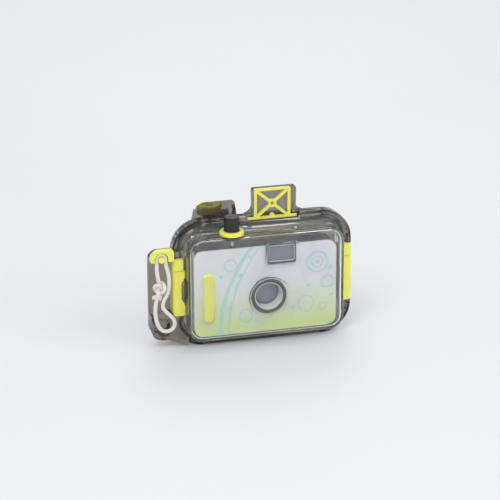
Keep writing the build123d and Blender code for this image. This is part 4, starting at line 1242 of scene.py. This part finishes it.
@dataclass
class LensAndShutter:
    """Lens ring, bright cup, lenses and the shutter behind them."""

    x: float = 1.5
    z: float = 40.0
    radius: float = 14.0
    front: float = -18.3
    panel: float = -15.4
    back: float = -11.2
    cup_radius: float = 10.95
    seat_radius: float = 12.4
    grooves: int = 2
    groove_pitch: float = 0.42
    groove_width: float = 0.22
    groove_slope: float = 0.06
    groove_depth: float = 0.12
    groove_edge: float = 0.03

    def bezel(self) -> Piece:
        """Turned black ring with shallow grooves in its front face.

        Returns:
            The piece.
        """
        corners = [(self.cup_radius, self.back, 0), (self.cup_radius, self.front + 0.5, 0.2),
                   (self.cup_radius + 0.5, self.front, 0.2)]
        floor, edge = self.front + self.groove_depth, self.groove_edge
        for index in range(self.grooves):
            start = self.cup_radius + 0.8 + index * self.groove_pitch
            end = start + self.groove_width
            corners += [(start, self.front, edge), (start + self.groove_slope, floor, edge),
                        (end - self.groove_slope, floor, edge), (end, self.front, edge)]
        corners += [(self.radius - 1.2, self.front, 0.5), (self.radius, self.front + 1.0, 0.6),
                    (self.radius, self.panel, 0), (self.seat_radius, self.panel, 0),
                    (self.seat_radius, self.back, 0), (self.cup_radius, self.back, 0)]
        profile = rounded(corners, 4) * MM
        return lathe("black_lens_ring", profile, mm(self.x, 0, self.z), along_y=True, steps=128)

    def build(self) -> None:
        """Makes the ring and dresses the lens and the shutter."""
        hand_over(self.bezel(), Finish.JET, "lens_bezel")
        # The cup's near-white colour is a painted reflection on its silver wall.
        dress("lens_cup", "lens_cup_painted_reflection", Finish.SILVER_AND_PAINTED_REFLECTION)
        for node in ("front_lens", "rear_lens"):
            dress(node, f"coated_{node}", Finish.LENS, sharp=50)
        paint(Finish.BLACKENED, "aperture_plate", "shutter_plate", "shutter_blade")


@dataclass
class Transport:
    """Film transport, rewind and the camera's own release."""

    black: tuple[str, ...] = ("thumbwheel", "take_up_spool", "film_sprocket", "rewind_knob", "rewind_crank",
                              "rewind_shaft", "release_button", "release_lever")

    def build(self) -> None:
        """Dresses the parts that show through the housing and paints the rest."""
        for node in self.black:
            dress(node, f"black_{node}", Finish.BLACK)
        dress("counter_dial", "white_counter_dial", Finish.WHITE)
        paint(Finish.CLEAR, "counter_window")
        paint(Finish.STEEL, "pressure_plate", "pressure_spring")


# Studio

@dataclass
class Studio:
    """Pale floor, soft lamps and the photograph's viewpoint. A lamp has a name, place, size and power."""

    place: Point = (-0.4027, -1.5110, 0.6500)
    ahead: Point = (0.23680884, 0.90730996, -0.34743376)
    above: Point = (0.09156513, 0.33517127, 0.93769720)
    lens: float = 158.4
    sensor: float = 36.0
    farthest: float = 50.0
    floor_reach: float = 6.0
    floor_colour: Colour = tone(230, 232, 234)
    world_colour: Colour = (0.97, 0.985, 1.0, 1.0)
    world_strength: float = 0.66
    lit_place: Point = (0.0, 0.0, 0.05)
    lamps: tuple[tuple[str, Point, float, float], ...] = (
        ("key_lamp", (-0.7, -1.1, 1.5), 0.9, 12.0), ("fill_lamp", (1.1, -0.9, 0.9), 0.9, 5.0),
        ("rear_lamp", (0.3, 1.2, 1.3), 0.8, 7.0))

    def camera(self) -> None:
        """Places the camera where the photograph was taken."""
        data = bpy.data.cameras.new("photo_camera")
        data.lens = self.lens
        data.sensor_width = self.sensor
        data.clip_end = self.farthest
        camera = linked("photo_camera", data)
        back, up = -Vector(self.ahead).normalized(), Vector(self.above).normalized()
        right = up.cross(back)
        camera.matrix_world = Matrix.Translation(self.place) @ Matrix((right, up, back)).transposed().to_4x4()
        bpy.context.scene.camera = camera

    def floor(self) -> None:
        """Lays a wide pale floor with a barely visible mottle."""
        side = np.linspace(-self.floor_reach, self.floor_reach, 7)
        x, y = np.meshgrid(side, side, indexing="ij")
        floor = grid_piece("studio_floor", np.stack([x, y, np.zeros_like(x)], -1), closed_v=False)
        graph = Graph("pale_floor")
        cloud = graph.noise(graph.place(), 0.4)
        colour = graph.blend(cloud, lit(self.floor_colour, 0.97), self.floor_colour)
        floor.data.materials.append(graph.finish(
            graph.surface(colour, 0.62 + 0.06 * cloud, None, {"Specular IOR Level": 0.2})))

    def lamp(self, name: str, place: Point, size: float, watts: float) -> None:
        """Hangs a square soft lamp that faces the object.

        Args:
            name: Name of the lamp.
            place: Where it hangs.
            size: Length of its sides in metres.
            watts: Its power.
        """
        data = bpy.data.lights.new(name, "AREA")
        data.size = size
        data.energy = watts
        lamp = linked(name, data)
        way = Vector(self.lit_place) - Vector(place)
        lamp.location = place
        lamp.rotation_euler = way.to_track_quat("-Z", "Y").to_euler()

    def world(self) -> None:
        """Fills the surroundings with an even pale light."""
        world = bpy.data.worlds.new("pale_world")
        world.use_nodes = True
        tree = world.node_tree
        tree.nodes.clear()
        background = tree.nodes.new("ShaderNodeBackground")
        background.inputs["Color"].default_value = self.world_colour
        background.inputs["Strength"].default_value = self.world_strength
        output = tree.nodes.new("ShaderNodeOutputWorld")
        tree.links.new(background.outputs[0], output.inputs[0])
        bpy.context.scene.world = world

    def build(self) -> None:
        """Sets up the floor, the light and plain colours."""
        self.floor()
        for lamp in self.lamps:
            self.lamp(*lamp)
        self.world()
        bpy.context.scene.view_settings.view_transform = "Standard"


def main() -> None:
    """Builds every sub-assembly and the studio, and reports each piece."""
    logging.basicConfig(level=logging.INFO, format="%(name)s: %(message)s")
    studio = Studio()
    studio.camera()
    for part in (WristCord(), Housing(), Latches(), PushButton(), Winder(), Sight(), CameraBody(),
                 LensAndShutter(), Transport(), studio):
        part.build()
        log.info("built %s", type(part).__name__)


if __name__ == "__main__":
    main()
